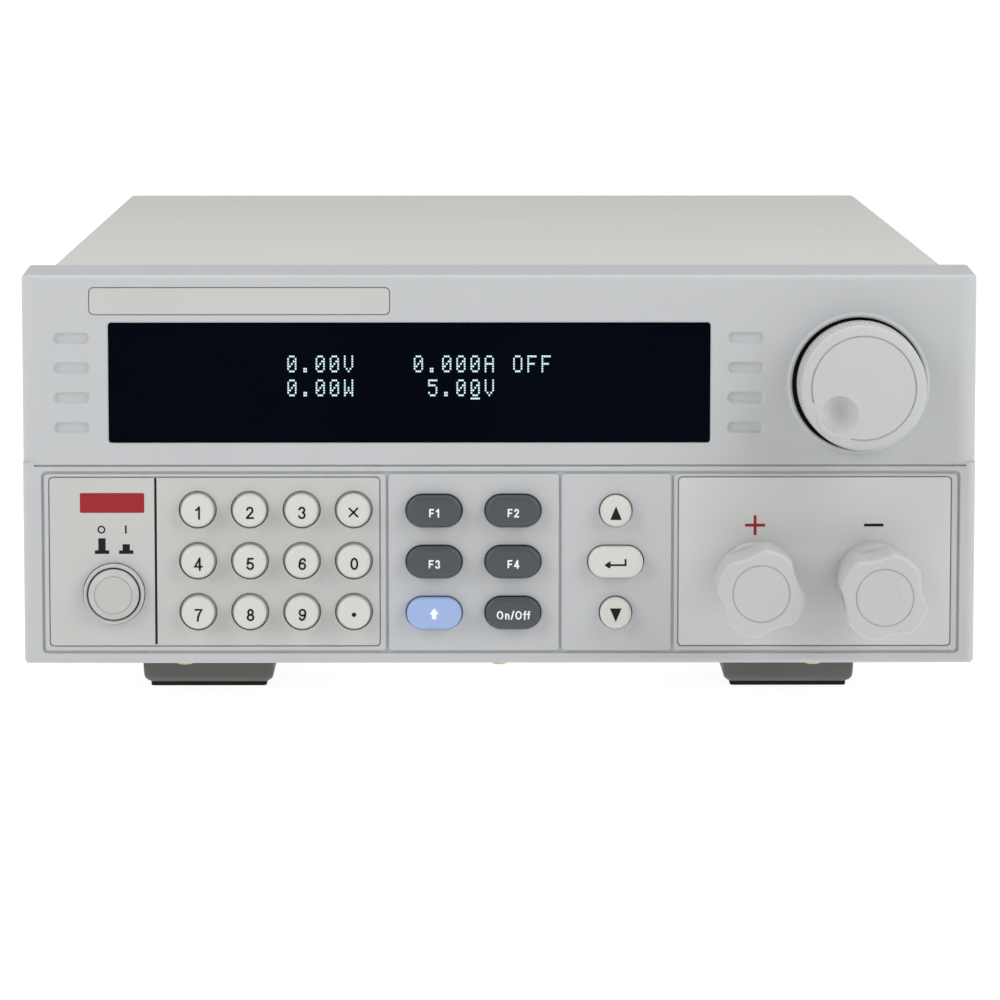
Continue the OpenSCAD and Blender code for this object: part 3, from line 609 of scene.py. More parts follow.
def build_display():
    b = Builder()
    b.plane((0, 0.39, 0), -Y, X)

    def dot(x, z, w=0.17, h=0.2):
        q = b.ring([(x - w, z - h), (x + w, z - h), (x + w, z + h), (x - w, z + h)], 0)
        b.face(q)

    for x0, zc, text in ((-47.7, 67.2, "0.00V"), (-19.3, 67.2, "0.000A"), (3.0, 67.2, "OFF"),
                         (-47.7, 61.8, "0.00W"), (-16.1, 61.8, "5.00V")):
        for i, ch in enumerate(text):
            for r, row in enumerate(GLYPH[ch].split()):
                for c, on in enumerate(row):
                    if on == "1":
                        dot(x0 + 3.18 * i + 0.29 + 0.42 * c, ZP + zc + 1.68 - 0.56 * r)
    for c in range(5):
        dot(-16.1 + 3.18 * 3 + 0.29 + 0.42 * c, ZP + 61.8 - 2.42)
    b.make("display_dots", M_GLOW, weighted=False)


build_display()


# ---------------------------------------------------------------- print

def ink(name, mat, draw, y, body=CH):
    b = Builder()
    b.plane((0, y, 0), -Y, X)
    draw(b)
    return b.make(name, mat, body=body, weighted=False)


def patch(b, shape, lift=0.012, r=0.0):
    o0, o1 = b.chain(shape, [(0, lift), (0, 0)])
    b.fill(o1)


def box_shape(x0, z0, x1, z1):
    return lambda d: np.array([(x0 - d, z0 - d), (x1 + d, z0 - d), (x1 + d, z1 + d), (x0 - d, z1 + d)])


def draw_black(b):
    patch(b, box_shape(-77.65, ZP + 3.75, -77.12, ZP + 41.5))
    o0, o1 = b.chain(S_circ(-89.6, ZP + 29.8, 0.9, 32), [(0, 0.012), (0, 0)])
    i0, i1 = b.chain(S_circ(-89.6, ZP + 29.8, 0.56, 32), [(0, 0), (0, 0.012)])
    b.fill(o1, [i0])
    patch(b, box_shape(-84.3, ZP + 28.9, -83.9, ZP + 30.75))
    for x, top in ((-89.5, 27.85), (-84.05, 26.5)):
        patch(b, box_shape(x - 1.62, ZP + 24.3, x + 1.62, ZP + 25.1))
        patch(b, box_shape(x - 0.82, ZP + 25.1, x + 0.82, ZP + top))
    patch(b, box_shape(POST_X[1] - 2.2, ZP + 30.4, POST_X[1] + 2.2, ZP + 31.05))


def draw_red(b):
    patch(b, S_rr(-87.15, ZP + 35.85, 14.5, 4.5, 0.35, 4))
    x, z = POST_X[0], ZP + 30.72
    patch(b, lambda d: np.array([(x + p, z + q) for p, q in
          ((2.25, -.34), (2.25, .34), (.34, .34), (.34, 2.25), (-.34, 2.25), (-.34, .34), (-2.25, .34), (-2.25, -.34),
           (-.34, -.34), (-.34, -2.25), (.34, -2.25), (.34, -.34))]))


ink("label_print_black", M_INK, draw_black, 0.036)
ink("label_print_red", M_RED, draw_red, 0.036)


def bow(cx, cy, rx, ry, a0, a1, n=18):
    return [(cx + rx * math.cos(math.radians(a0 + (a1 - a0) * i / n)), cy + ry * math.sin(math.radians(a0 + (a1 - a0) * i / n))) for i in range(n + 1)]


# plain stroke figures in a box one unit high: width, then the strokes
STROKES = {
    "0": (0.62, [bow(0.31, 0.5, 0.25, 0.44, 90, 450, 32)]),
    "1": (0.50, [[(0.08, 0.73), (0.22, 0.80), (0.33, 0.94)], [(0.34, 0.98), (0.34, 0.0)]]),
    "2": (0.62, [bow(0.30, 0.70, 0.23, 0.24, 170, -38, 16) + [(0.10, 0.14), (0.06, 0.06), (0.57, 0.06)]]),
    "3": (0.62, [bow(0.29, 0.72, 0.21, 0.22, 165, -75, 16) + bow(0.29, 0.28, 0.24, 0.23, 80, -165, 18)]),
    "4": (0.64, [[(0.44, 0.94), (0.05, 0.27), (0.62, 0.27)], [(0.45, 0.98), (0.45, 0.0)]]),
    "5": (0.62, [[(0.54, 0.94), (0.15, 0.94), (0.09, 0.50)] + bow(0.30, 0.33, 0.25, 0.27, 140, -160, 20)]),
    "6": (0.62, [bow(0.31, 0.31, 0.24, 0.25, 90, 450, 28), [(0.07, 0.31), (0.09, 0.60), (0.20, 0.86), (0.36, 0.94), (0.50, 0.87), (0.54, 0.76)]]),
    "7": (0.62, [[(0.06, 0.94), (0.57, 0.94), (0.38, 0.62), (0.27, 0.30), (0.24, 0.0)]]),
    "8": (0.62, [bow(0.31, 0.73, 0.19, 0.21, 90, 450, 24), bow(0.31, 0.28, 0.24, 0.23, 90, 450, 28)]),
    "9": (0.62, [bow(0.31, 0.69, 0.24, 0.25, 90, 450, 28), [(0.55, 0.69), (0.53, 0.40), (0.42, 0.14), (0.26, 0.06), (0.12, 0.13), (0.08, 0.24)]]),
    "F": (0.62, [[(0.10, 0.0), (0.10, 0.94), (0.58, 0.94)], [(0.10, 0.50), (0.52, 0.50)]]),
    "O": (0.84, [bow(0.42, 0.5, 0.35, 0.44, 90, 450, 36)]),
    "n": (0.60, [[(0.10, 0.0), (0.10, 0.66)], bow(0.30, 0.42, 0.20, 0.22, 180, 0, 14) + [(0.50, 0.0)]]),
    "f": (0.34, [[(0.15, 0.0), (0.15, 0.80)] + bow(0.28, 0.80, 0.13, 0.15, 180, 80, 8), [(0.0, 0.63), (0.32, 0.63)]]),
    "/": (0.40, [[(0.02, -0.02), (0.34, 1.0)]]),
}


def ribbon(b, pts, half, lift):
    """A stroke of even width with round ends."""
    p = np.array(pts, float)
    p = p[np.append(True, np.linalg.norm(np.diff(p, axis=0), axis=1) > 1e-6)]
    closed = np.allclose(p[0], p[-1])
    d = np.diff(p, axis=0)
    d /= np.linalg.norm(d, axis=1)[:, None]
    nrm = np.column_stack([-d[:, 1], d[:, 0]])
    before = np.vstack([nrm[-1] if closed else nrm[0], nrm])
    after = np.vstack([nrm, nrm[0] if closed else nrm[-1]])
    m = before + after
    m /= np.maximum((m * before).sum(1), 0.6)[:, None]
    left, right = b.ring(p + half * m, lift), b.ring(p - half * m, lift)
    for i in range(len(p) - 1):
        b.face((right[i], right[i + 1], left[i + 1], left[i]), False)
    if not closed:
        for c, q, u in ((p[0], -d[0], nrm[0]), (p[-1], d[-1], -nrm[-1])):
            t = np.linspace(0, math.pi, 9)
            cap = b.ring(c + half * (np.cos(t)[:, None] * -u + np.sin(t)[:, None] * q), lift)
            b.face(cap, False)


def letters(name, text, height, x, z, y, mat, body, stroke=0.38, gap=0.16, widen=1.0):
    b = Builder()
    b.plane((0, y, 0), -Y, X)
    wide = (sum(STROKES[c][0] for c in text) + gap * (len(text) - 1)) * widen * height
    at = x - wide / 2
    k = (height - stroke) / height
    n = 0
    for c in text:
        for line in STROKES[c][1]:
            q = [(at + (stroke / 2 + px * height * k) * widen, z - height / 2 + stroke / 2 + (pz - 0.06) * height * k / 0.88) for px, pz in line]
            ribbon(b, q, stroke / 2, -0.0012 * n)
            n += 1
        at += (STROKES[c][0] + gap) * widen * height
    return b.make(name, mat, body=body, weighted=False)


# ---------------------------------------------------------------- keys

TOP = -2.4


def round_cap(x, z, r, skirt):
    b = Builder()
    prof = []
    if skirt:
        prof += [(4.15, 2.45), (4.15, 0.95), (4.1, 0.86), (4.0, 0.8), (r + 0.06, 0.78), (r + 0.01, 0.7)]
    else:
        prof += [(r, 2.45)]
    prof += [(r - 0.01, -0.4), (r - 0.03, -1.5), (r - 0.09, -1.8), (r - 0.22, -2.06), (r - 0.38, -2.22), (r - 0.56, -2.33), (r - 0.76, TOP),
             (r - 1.0, TOP + 0.01), (r * 0.45, TOP + 0.05), (r * 0.18, TOP + 0.06)]
    b.lathe(x, z, prof, 64)
    return b


def oval_cap(x, z):
    b = Builder()
    o0, o1 = b.chain(S_stad(x, z, 12.4, 7.1, 20), [(0, 2.45), (0, -0.6), (-0.03, -1.6), (-0.1, -1.92), (-0.26, -2.14), (-0.5, -2.28),
                     (-0.8, -2.37), (-1.15, TOP), (-1.8, TOP), (-2.5, TOP + 0.02)])
    b.fill(o1)
    b.fill(o0, flip=True)
    return b


LEGEND_Y = TOP + 0.015
for j, row in enumerate((("key_1", "key_2", "key_3", "key_escape"), ("key_4", "key_5", "key_6", "key_0"),
                         ("key_7", "key_8", "key_9", "key_point"))):
    for i, node in enumerate(row):
        x, z = KEY_X[i], ROW_Z[j]
        body = node + "_body"
        round_cap(x, z, 3.7, True).make(node + "_cap", M_KEY, body=body, replaces=node, slot="white_key")
        if node[-1].isdigit():
            letters(node + "_legend", node[-1], 2.8, x + 0.06, z - 0.42, LEGEND_Y, M_INK, body, stroke=0.44, widen=1.14)
        elif node == "key_point":
            ink(node + "_legend", M_INK, lambda b: patch(b, S_circ(x + 0.05, z - 0.4, 0.5, 24), 0.02), LEGEND_Y, body)
        else:
            def cross(b, x=x, z=z):
                for s in (1, -1):
                    c, n = np.array([1, s]) / math.sqrt(2), np.array([-s, 1]) / math.sqrt(2)
                    p = [-1.45 * c - 0.2 * n, 1.45 * c - 0.2 * n, 1.45 * c + 0.2 * n, -1.45 * c + 0.2 * n]
                    patch(b, lambda d: np.array(p) + [x, z - 0.35], 0.02)
            ink(node + "_legend", M_INK, cross, LEGEND_Y, body)

for n, (node, i, j, mat, slot) in enumerate((("func_key_1", 0, 0, M_DARK, "dark_key"), ("func_key_2", 1, 0, M_DARK, "dark_key"),
        ("func_key_3", 0, 1, M_DARK, "dark_key"), ("func_key_4", 1, 1, M_DARK, "dark_key"),
        ("shift_key", 0, 2, M_BLUE, "blue_key"), ("on_off_key", 1, 2, M_DARK, "dark_key"))):
    x, z, body = FUNC_X[i], OVAL_Z[j], node + "_body"
    oval_cap(x, z).make(node + "_cap", mat, body=body, replaces=node, slot=slot)
    if n < 4:
        letters(node + "_legend", "F%d" % (n + 1), 1.95, x, z - 0.35, LEGEND_Y, M_WHITE, body, stroke=0.33)
    elif node == "on_off_key":
        letters(node + "_legend", "On/Off", 1.95, x, z - 0.35, LEGEND_Y, M_WHITE, body, stroke=0.31, gap=0.1)
    else:
        ink(node + "_legend", M_WHITE, lambda b: patch(b, lambda d: np.array(
            [(x + p, z - 0.4 + q) for p, q in ((-.5, -1.7), (.5, -1.7), (.5, .25), (1.05, .25), (0, 1.75), (-1.05, .25), (-.5, .25))]), 0.02), LEGEND_Y, body)

for node, j in (("up_key", 0), ("down_key", 2)):
    x, z, body = NAV_X, OVAL_Z[j], node + "_body"
    round_cap(x, z, 3.55, False).make(node + "_cap", M_KEY, body=body, replaces=node, slot="white_key")
    s = 1 if j == 0 else -1
    tri = [(-1.3, -1.55), (1.3, -1.55), (0, 1.55)] if s > 0 else [(-1.3, 1.55), (0, -1.55), (1.3, 1.55)]
    ink(node + "_legend", M_INK, lambda b: patch(b, lambda d: np.array([(x + p, z - 0.35 + q) for p, q in tri]), 0.02), LEGEND_Y, body)

oval_cap(NAV_X, OVAL_Z[1]).make("enter_key_cap", M_KEY, body="enter_key_body", replaces="enter_key", slot="white_key")
ink("enter_key_legend", M_INK, lambda b: patch(b, lambda d: np.array([(NAV_X + p, OVAL_Z[1] - 0.35 + q) for p, q in (
    (-2.6, -.2), (-1.2, -1.2), (-1.2, -.42), (2.4, -.42), (2.4, 1.2), (1.95, 1.2), (1.95, .02), (-1.2, .02), (-1.2, .8))]), 0.02),
    LEGEND_Y, "enter_key_body")


# ---------------------------------------------------------------- mains button

def build_button():
    b = Builder()
    r = 5.7
    b.lathe(POW[0], POW[1], [(r, 6.0), (r, -1.75), (r - 0.06, -2.0), (r - 0.2, -2.2), (r - 0.42, -2.36), (4.8, -2.78), (4.55, -2.98), (4.42, -3.1),
            (4.34, -3.14), (4.28, -3.02), (4.22, -2.98), (4.16, -3.02), (4.1, -3.14), (3.98, -3.18), (3.6, -3.2), (1.5, -3.18), (0.5, -3.17)], 96)
    b.plane((0, 0, 0), -Y, X)
    b.lathe(POW[0], POW[1], [(2.2, 19.0), (2.2, 5.9)], 32, (True, False))
    b.make("mains_button_cap", M_BUTTON, body="power_button_body", replaces="power_button", slot="white_key")


build_button()


# ---------------------------------------------------------------- jog knob

def build_knob():
    b = Builder()
    cx, cz = ENC
    n, teeth, F = 1040, 130, 13.5
    a = np.linspace(0, 2 * math.pi, n, endpoint=False)
    tooth = 0.5 - 0.5 * np.cos(a * teeth)

    def ring(r, y, k):
        q = r - k * (1 - tooth)
        return b.ring(np.column_stack([cx + q * np.cos(a), cz + q * np.sin(a)]), y)

    rings = [ring(13.5, 0.2, 0), ring(14.0, 0.1, 0), ring(14.15, -0.2, 0), ring(14.15, -1.6, 0), ring(14.3, -1.8, 0.2), ring(14.08, -F + 1.5, 0.2), ring(14.04, -F + 1.3, 0.05),
             ring(14.0, -F + 1.05, 0), ring(13.9, -F + 0.75, 0), ring(13.7, -F + 0.52, 0), ring(13.3, -F + 0.36, 0), ring(12.75, -F + 0.22, 0), ring(12.2, -F + 0.1, 0),
             ring(11.9, -F + 0.03, 0), ring(11.8, -F, 0)]
    for p, q in zip(rings, rings[1:]):
        b.bridge(p, q)
    # face: a line round the plateau that stops short of the finger dimple
    dx, dz = cx - 5.43, cz - 5.95
    g0, g1 = b.chain(S_arc(cx, cz, 11.6, 0.17, -103, 195, 120), [(0.12, -F), (0.04, -F + 0.04), (-0.02, -F + 0.22), (-0.1, -F + 0.32)])
    b.fill(g1)
    Rs, dep = 4.77, 2.6
    prof = [(0.75, -F), (0.62, -F), (0.5, -F - 0.03), (0.32, -F - 0.09), (0.16, -F - 0.1), (0.04, -F - 0.05), (-0.06, -F + 0.07)]
    d0, d1 = b.chain(S_circ(dx, dz, 4.25, 72), prof)
    # the bowl is deepest above its middle
    for q in np.linspace(4.1, 0.4, 14):
        bowl = b.ring(S_circ(dx, dz + 1.1 * (1 - q / 4.25), q, 72)(0), -F + (math.sqrt(Rs * Rs - q * q) - (Rs - dep)) - 0.02)
        b.bridge(d1, bowl)
        d1 = bowl
    b.fan(d1, False)
    b.fill(rings[-1], [g0, d0])
    # underside with the room for the bush
    u0, u1 = b.chain(S_circ(cx, cz, 4.2, 48), [(0, 0.2), (0, -3.6), (-1.15, -3.6), (-1.15, -11.2)])
    b.fill(rings[0], [u0], flip=True)
    b.make("jog_knob_cap", M_KNOB, body="jog_knob", replaces="encoder_knob", slot="knob_plastic", sharp=55)


build_knob()


# ---------------------------------------------------------------- binding posts

def star(a, turn):
    """Radius of four broad lobes between shallow flutes, the first flute at the angle turn."""
    tip, R = 9.9, 14.65
    D = tip + 13.25
    phi = (a - turn + math.pi / 4) % (math.pi / 2) - math.pi / 4
    flute = D * np.cos(phi) - np.sqrt(np.clip(R * R - (D * np.sin(phi)) ** 2, 0, None))
    flute = np.where(np.abs(D * np.sin(phi)) < R, flute, 99.0)
    k = 9.0
    return -np.log(np.exp(-k * (flute - tip)) + 1.0) / k + tip


def build_post(tag, x, rear, turn):
    n = 360
    a = np.linspace(0, 2 * math.pi, n, endpoint=False)
    rs = star(a, math.radians(turn))
    L, flange = 21.0, np.full(n, 9.05)
    b = Builder()

    def ring(r, y):
        return b.ring(np.column_stack([x + r * np.cos(a), POST_Z + r * np.sin(a)]), rear - y)

    lean = lambda y: 0.4 * (1 - y / L)
    # a round flange at the rear, then the fluted grip
    rings = [ring(flange - i, y) for i, y in ((0.5, 0.0), (0.2, 0.08), (0.05, 0.25), (0.0, 0.5), (0.0, 2.0), (0.08, 2.3), (0.25, 2.45))]
    rings.append(ring(np.minimum(rs - lean(2.6), 9.0) - 0.25, 2.6))
    rings.append(ring(rs - lean(3.0) - 0.08, 2.85))
    rings.append(ring(rs - lean(3.3), 3.3))
    for y in np.linspace(5.0, L - 1.5, 6):
        rings.append(ring(rs - lean(y), y))
    for i, y in ((0.03, 1.15), (0.12, 0.85), (0.28, 0.58), (0.5, 0.37), (0.8, 0.2)):
        rings.append(ring(rs - i, L - y))
    for t, y in ((0.3, 0.11), (0.65, 0.05), (1.0, 0.01)):
        rings.append(ring((rs - 0.8) * (1 - t) + 6.95 * t, L - y))
    for r, y in ((6.6, 0.0), (6.47, 0.04), (6.38, 0.22), (6.28, 0.28), (6.18, 0.22), (6.08, 0.04), (5.9, 0.0), (3.35, 0.0), (3.22, 0.05), (3.1, 0.07), (2.98, 0.03), (2.8, 0.0), (0.8, 0.0)):
        rings.append(ring(np.full(n, r), L - y))
    for p, q in zip(rings, rings[1:]):
        b.bridge(p, q)
    b.fan(rings[-1], False)
    # rear face: recess for the pressure ring, bore for the stud
    u0, u1 = b.chain(S_circ(x, POST_Z, 6.6, 64), [(0, rear), (0, rear - 1.8), (-3.45, rear - 1.8), (-3.45, rear - 17.5)])
    b.fill(rings[0], [u0], flip=True)
    b.make("post_nut_" + tag, M_POST, body="post_knob_%s_body" % tag, replaces="post_knob_" + tag, slot="post_plastic", sharp=55)
    c = Builder()
    c.lathe(x, POST_Z, [(3.2, rear - 1.5), (6.2, rear - 1.5), (6.3, rear - 1.4), (6.3, rear - 0.1), (6.1, rear + 0.1), (3.4, rear + 0.1), (3.2, rear - 0.1), (3.2, rear - 1.5)], 64, (False, False))
    ob = c.make("post_ring_" + tag, M_BRASS, body="post_clamp_%s_body" % tag, replaces="post_clamp_" + tag, slot="brass")
    ob.data.flip_normals()


build_post("pos", POST_X[0], -6.0, 21.5)
build_post("neg", POST_X[1], -6.0 - NEG_OPEN, 13.0)


def build_studs():
    b = Builder()
    for x in POST_X:
        prof = [(3.0, 18.0)]
        for k in range(40):
            y = 17.5 - k
            prof += [(2.99, y + 0.3), (2.99, y + 0.2), (2.62, y - 0.15), (2.62, y - 0.25)]
        prof += [(2.9, -21.9), (2.5, -22.0)]
        b.lathe(x, POST_Z, [p for p in prof if p[1] >= -22.0], 40)
    b.make("threaded_studs", M_BRASS, replaces="post_studs", slot="brass", sharp=60)
    b = Builder()
    for x in POST_X:
        b.lathe(x, POST_Z, [(5.8, 2.3), (5.8, 0.0), (8.1, 0.0), (8.4, -0.3), (8.4, -4.6), (8.3, -5.05), (8.0, -5.38), (7.6, -5.5), (7.0, -5.5), (6.8, -5.42), (3.4, -5.42), (3.2, -5.3), (3.2, 2.3)], 72, (False, False))
        b.lathe(x, POST_Z, [(8.0, 6.0), (8.0, 2.5), (3.2, 2.5), (3.2, 6.0)], 48, (False, False))
    b.make("post_bushes", M_POST, replaces="post_insulators", slot="post_plastic")


build_studs()


# ---------------------------------------------------------------- sheet-metal case

CASE_HW, CASE_Z0, CASE_Z1, SHEET = 105.7, 13.2, 96.4, 1.2


def build_cover():
    b = Builder()
    y0, y1, R = 12.0, BODY_D, 1.6
    xo, zt = CASE_HW, CASE_Z1
    arcs = []
    for r, ex in ((R, 0.0), (R - SHEET, 0.0)):
        off = R - r
        line = []
        for s in (-1, 1):
            c = (s * (xo - R), zt - R)
            ts = np.linspace(180, 90, 9) if s < 0 else np.linspace(90, 0, 9)
            line += [(c[0] + r * math.cos(math.radians(t)), c[1] + r * math.sin(math.radians(t))) for t in ts]
        arcs.append(line)
    rows = []
    for line in arcs:
        rows.append([b.pts([(x, y, z) for x, z in line]) for y in (y0, y1)])
    (of_, ob_), (if_, ib_) = rows
    m = len(of_)
    for i in range(m - 1):
        b.face((of_[i], of_[i + 1], ob_[i + 1], ob_[i]))
        b.face((if_[i + 1], if_[i], ib_[i], ib_[i + 1]))
        b.face((of_[i + 1], of_[i], if_[i], if_[i + 1]))
        b.face((ob_[i], ob_[i + 1], ib_[i + 1], ib_[i]))
    for s in (-1, 1):
        n, u = s * X, s * Y
        b.plane((s * xo, 0, 0), n, u)
        k = 0 if s < 0 else m - 1
        bot = b.pts([(s * xo, y0, CASE_Z0), (s * xo, y1, CASE_Z0), (s * (xo - SHEET), y0, CASE_Z0), (s * (xo - SHEET), y1, CASE_Z0)])
        outer = [bot[0], bot[1], ob_[k], of_[k]]
        inner = [bot[2], bot[3], ib_[k], if_[k]]
        if s < 0:
            outer, inner = outer[::-1], inner[::-1]
        o_h, i_h = [], []
        for i in range(14):
            for z in (40, 66):
                h0, h1 = b.chain(S_stad(s * (70 + 7.5 * i), z + 8, 18.6, 2.6, 10, True), [(0.22, 0), (0.08, 0.05), (0, 0.2), (0, SHEET)])
                o_h.append(h0)
                i_h.append(h1)
        b.fill(outer, o_h)
        b.plane((s * (xo - SHEET), 0, 0), n, u)
        b.fill(inner, i_h, flip=True)
        e = [(bot[0], bot[1], bot[3], bot[2]), (of_[k], bot[0], bot[2], if_[k]), (bot[1], ob_[k], ib_[k], bot[3])]
        for q in e:
            b.face(q[::-1] if s > 0 else q)
    b.make("cover_sheet", M_COVER, replaces="top_cover", slot="cover_paint", sharp=35)


build_cover()


def build_rear():
    b = Builder()
    hw, zl, zh = 103.5, 14.7, 94.9
    b.plane((0, BODY_D, 0), Y, -X)
    o0, o1 = b.chain(S_rr(0, (zl + zh) / 2, 2 * hw, zh - zl, 0.4, 3), [(0, 1.5), (0, 0.2), (-0.06, 0.06), (-0.2, 0)])
    shapes = [S_stad(-45, 55 + 7 * k, 2 * math.sqrt(33 * 33 - 49 * k * k), 3.8, 12) for k in range(-4, 5)]
    shapes += [S_rr(66, 42, 27.6, 20.1, 0.5, 3), S_rr(20, 68, 20, 11, 0.5, 3), S_rr(20, 38, 22.6, 9.6, 0.4, 3)]
    fr, bk = [], []
    for s in shapes:
        h0, h1 = b.chain(s, edge(0.2, 3) + [(0, 1.5)])
        fr.append(h0)
        bk.append(h1)
    b.fill(o1, fr)
    b.fill(o0, bk, flip=True)
    for s in (-1, 1):
        b.block((min(s * hw, s * (hw - 1.2)), BODY_D - 13, 34), (max(s * hw, s * (hw - 1.2)), BODY_D - 1.4, 90))
    b.make("rear_plate", M_COVER, replaces="rear_panel", slot="cover_paint", sharp=35)


build_rear()


def screw_on(b, o, n, u, R=2.8, H=2.1, shank=(1.5, 6.0), seg=40, turn=0.0):
    n, u = np.array(n, float), np.array(u, float)
    v = np.cross(n, u)
    u = math.cos(turn) * u + math.sin(turn) * v
    b.plane(o, n, u)
    a = np.linspace(0, 2 * math.pi, seg, endpoint=False)
    c = lambda r: np.column_stack([r * np.cos(a), r * np.sin(a)])
    prof = [(shank[0], shank[1]), (shank[0], 0.0), (R - 0.1, 0.0), (R, -0.1), (R, -0.42 * H), (0.96 * R, -0.6 * H), (0.86 * R, -0.8 * H), (0.74 * R, -0.93 * H), (0.62 * R, -H)]
    prev = first = None
    for r, d in prof:
        q = b.ring(c(r), d)
        if prev is not None:
            b.bridge(prev, q)
        first = first or q
        prev = q
    k0, k1 = b.chain(S_cross(0.52 * R, 0.13 * R), [(0.05, -H), (0, -H + 0.08), (-0.08 * R, -H * 0.35)])
    b.fill(k1)
    b.fill(prev, [k0])
    b.fan(first, True)


def build_screws():
    rnd = random.Random(5)
    b = Builder()
    for s in (-1, 1):
        for y, z in ((50, 22), (190, 22), (320, 22), (343, 72)):
            screw_on(b, (s * CASE_HW, y, z), s * X, s * Y, turn=rnd.uniform(0, 1.5))
    for i in (-1, 1):
        for k in (-1, 1):
            screw_on(b, (45 + 30 * i, BODY_D, 55 + 30 * k), Y, -X, shank=(1.5, 14), turn=rnd.uniform(0, 1.5))
        screw_on(b, (-66 + 20 * i, BODY_D + 2.5, 42), Y, -X, shank=(1.5, 8), turn=rnd.uniform(0, 1.5))
    for x, z in ((-95, 81), (62, 81), (95, 81), (-95.5, 45), (-25.4, 8.5), (40, 8.5)):
        screw_on(b, (x, 12.1, ZB + z), Y, -X, seg=20)
    for x, y in ((-92, 68), (-16, 68), (-92, 226), (-16, 226), (2, 158.5), (80, 158.5), (-0.5, 312), (93, 312)):
        screw_on(b, (x, y, 20.4), Z, X, shank=(1.5, 5), seg=20)
    for i in (-1, 1):
        for y in (50, 298):
            screw_on(b, (67.6 * i, y, 14.4), Z, X, shank=(1.5, 8), seg=20)
    b.make("case_screw_set", M_STEEL, replaces="case_screws", slot="screw_steel", sharp=35)
    b = Builder()
    for k, x in enumerate((-71.4, 0, 71.4)):
        screw_on(b, (x, 8.5, ZB), -Z, X, R=2.15, H=1.25, shank=(1.5, 7.0), turn=0.4 + 0.9 * k)
    b.make("bezel_screw_set", M_BRASS, replaces="bezel_screws", slot="brass", sharp=35)


build_screws()


def build_feet():
    b, p = Builder(), Builder()
    for sx in (-1, 1):
        for y in (50, 298):
            b.plane((67.6 * sx, y, 0), -Z, X)
            w, l = 31.2, 26.0
            prev = first = None
            for z, ins, r in ((13.2, 0.0, 1.2), (11.0, 0.05, 1.2), (4.0, 0.42, 1.2), (2.6, 0.52, 1.3), (2.0, 0.72, 1.3), (1.5, 1.15, 1.3), (1.15, 1.7, 1.2), (1.0, 2.05, 1.0), (2.2, 2.05, 1.0)):
                q = b.ring(rr(0, 0, w - 2 * ins, l - 2 * ins, r, 5), z)
                if prev is not None:
                    b.bridge(prev, q)
                first = first or q
                prev = q
            b.fill(prev)
            b.fill(first, flip=True)
            p.plane((67.6 * sx, y, 0), -Z, X)
            o0, o1 = p.chain(S_rr(0, 0, 27.0, 21.8, 0.9, 4), [(0, 2.2), (0, 0.25), (-0.08, 0.08), (-0.25, 0.0)])
            p.fill(o1)
            p.fill(o0, flip=True)
    b.make("foot_blocks", M_FOOT, replaces="feet", slot="foot_plastic", sharp=50)
    p.make("foot_rubbers", M_RUBBER, replaces="foot_pads", slot="rubber", sharp=50)


build_feet()


# ---------------------------------------------------------------- rear fittings

def build_inlet():
    b = Builder()
    b.plane((-66, BODY_D, 42), Y, -X)
    o0, o1 = b.chain(S_rr(0, 0, 50, 22.6, 4, 8), [(0, 0), (0, -1.9), (-0.12, -2.25), (-0.4, -2.45), (-0.7, -2.5)])
    cav = S_poly([(-12.1, -8.3), (12.1, -8.3), (12.1, 4.6), (8.4, 8.3), (-8.4, 8.3), (-12.1, 4.6)], 1.0, 4)
    c0, c1 = b.chain(cav, [(0.4, -2.5), (0.1, -2.35), (0, -2.0), (0, 14.0)])
    b.fill(o1, [c0])
    b.fill(c1)
    body = b.chain(S_rr(0, 0, 27.2, 19.7, 0.5, 3), [(0, 22.0), (0, 0)])
    b.fill(body[0], flip=True)
    b.fill(o0, [body[1]], flip=True)
    b.mat = 1
    for dx, dz in ((-7, -2), (0, 2.4), (7, -2)):
        b.plane((-66 + dx, BODY_D, 42 + dz), Y, -X)
        q0, q1 = b.chain(S_rr(0, 0, 2.0, 4.0, 0.2, 3), [(0, 14.0), (0, 4.6), (-0.2, 3.8), (-0.5, 3.5)])
        b.fill(q1)
        t0, t1 = b.chain(S_rr(0, 0, 1.0, 4.6, 0.1, 2), [(0, 27.0), (0, 22.0)])
        b.fill(t0, flip=True)
    b.make("inlet_body", [M_BLACK, M_NICKEL], replaces="inlet_socket", slot="black_plastic", sharp=40)


build_inlet()


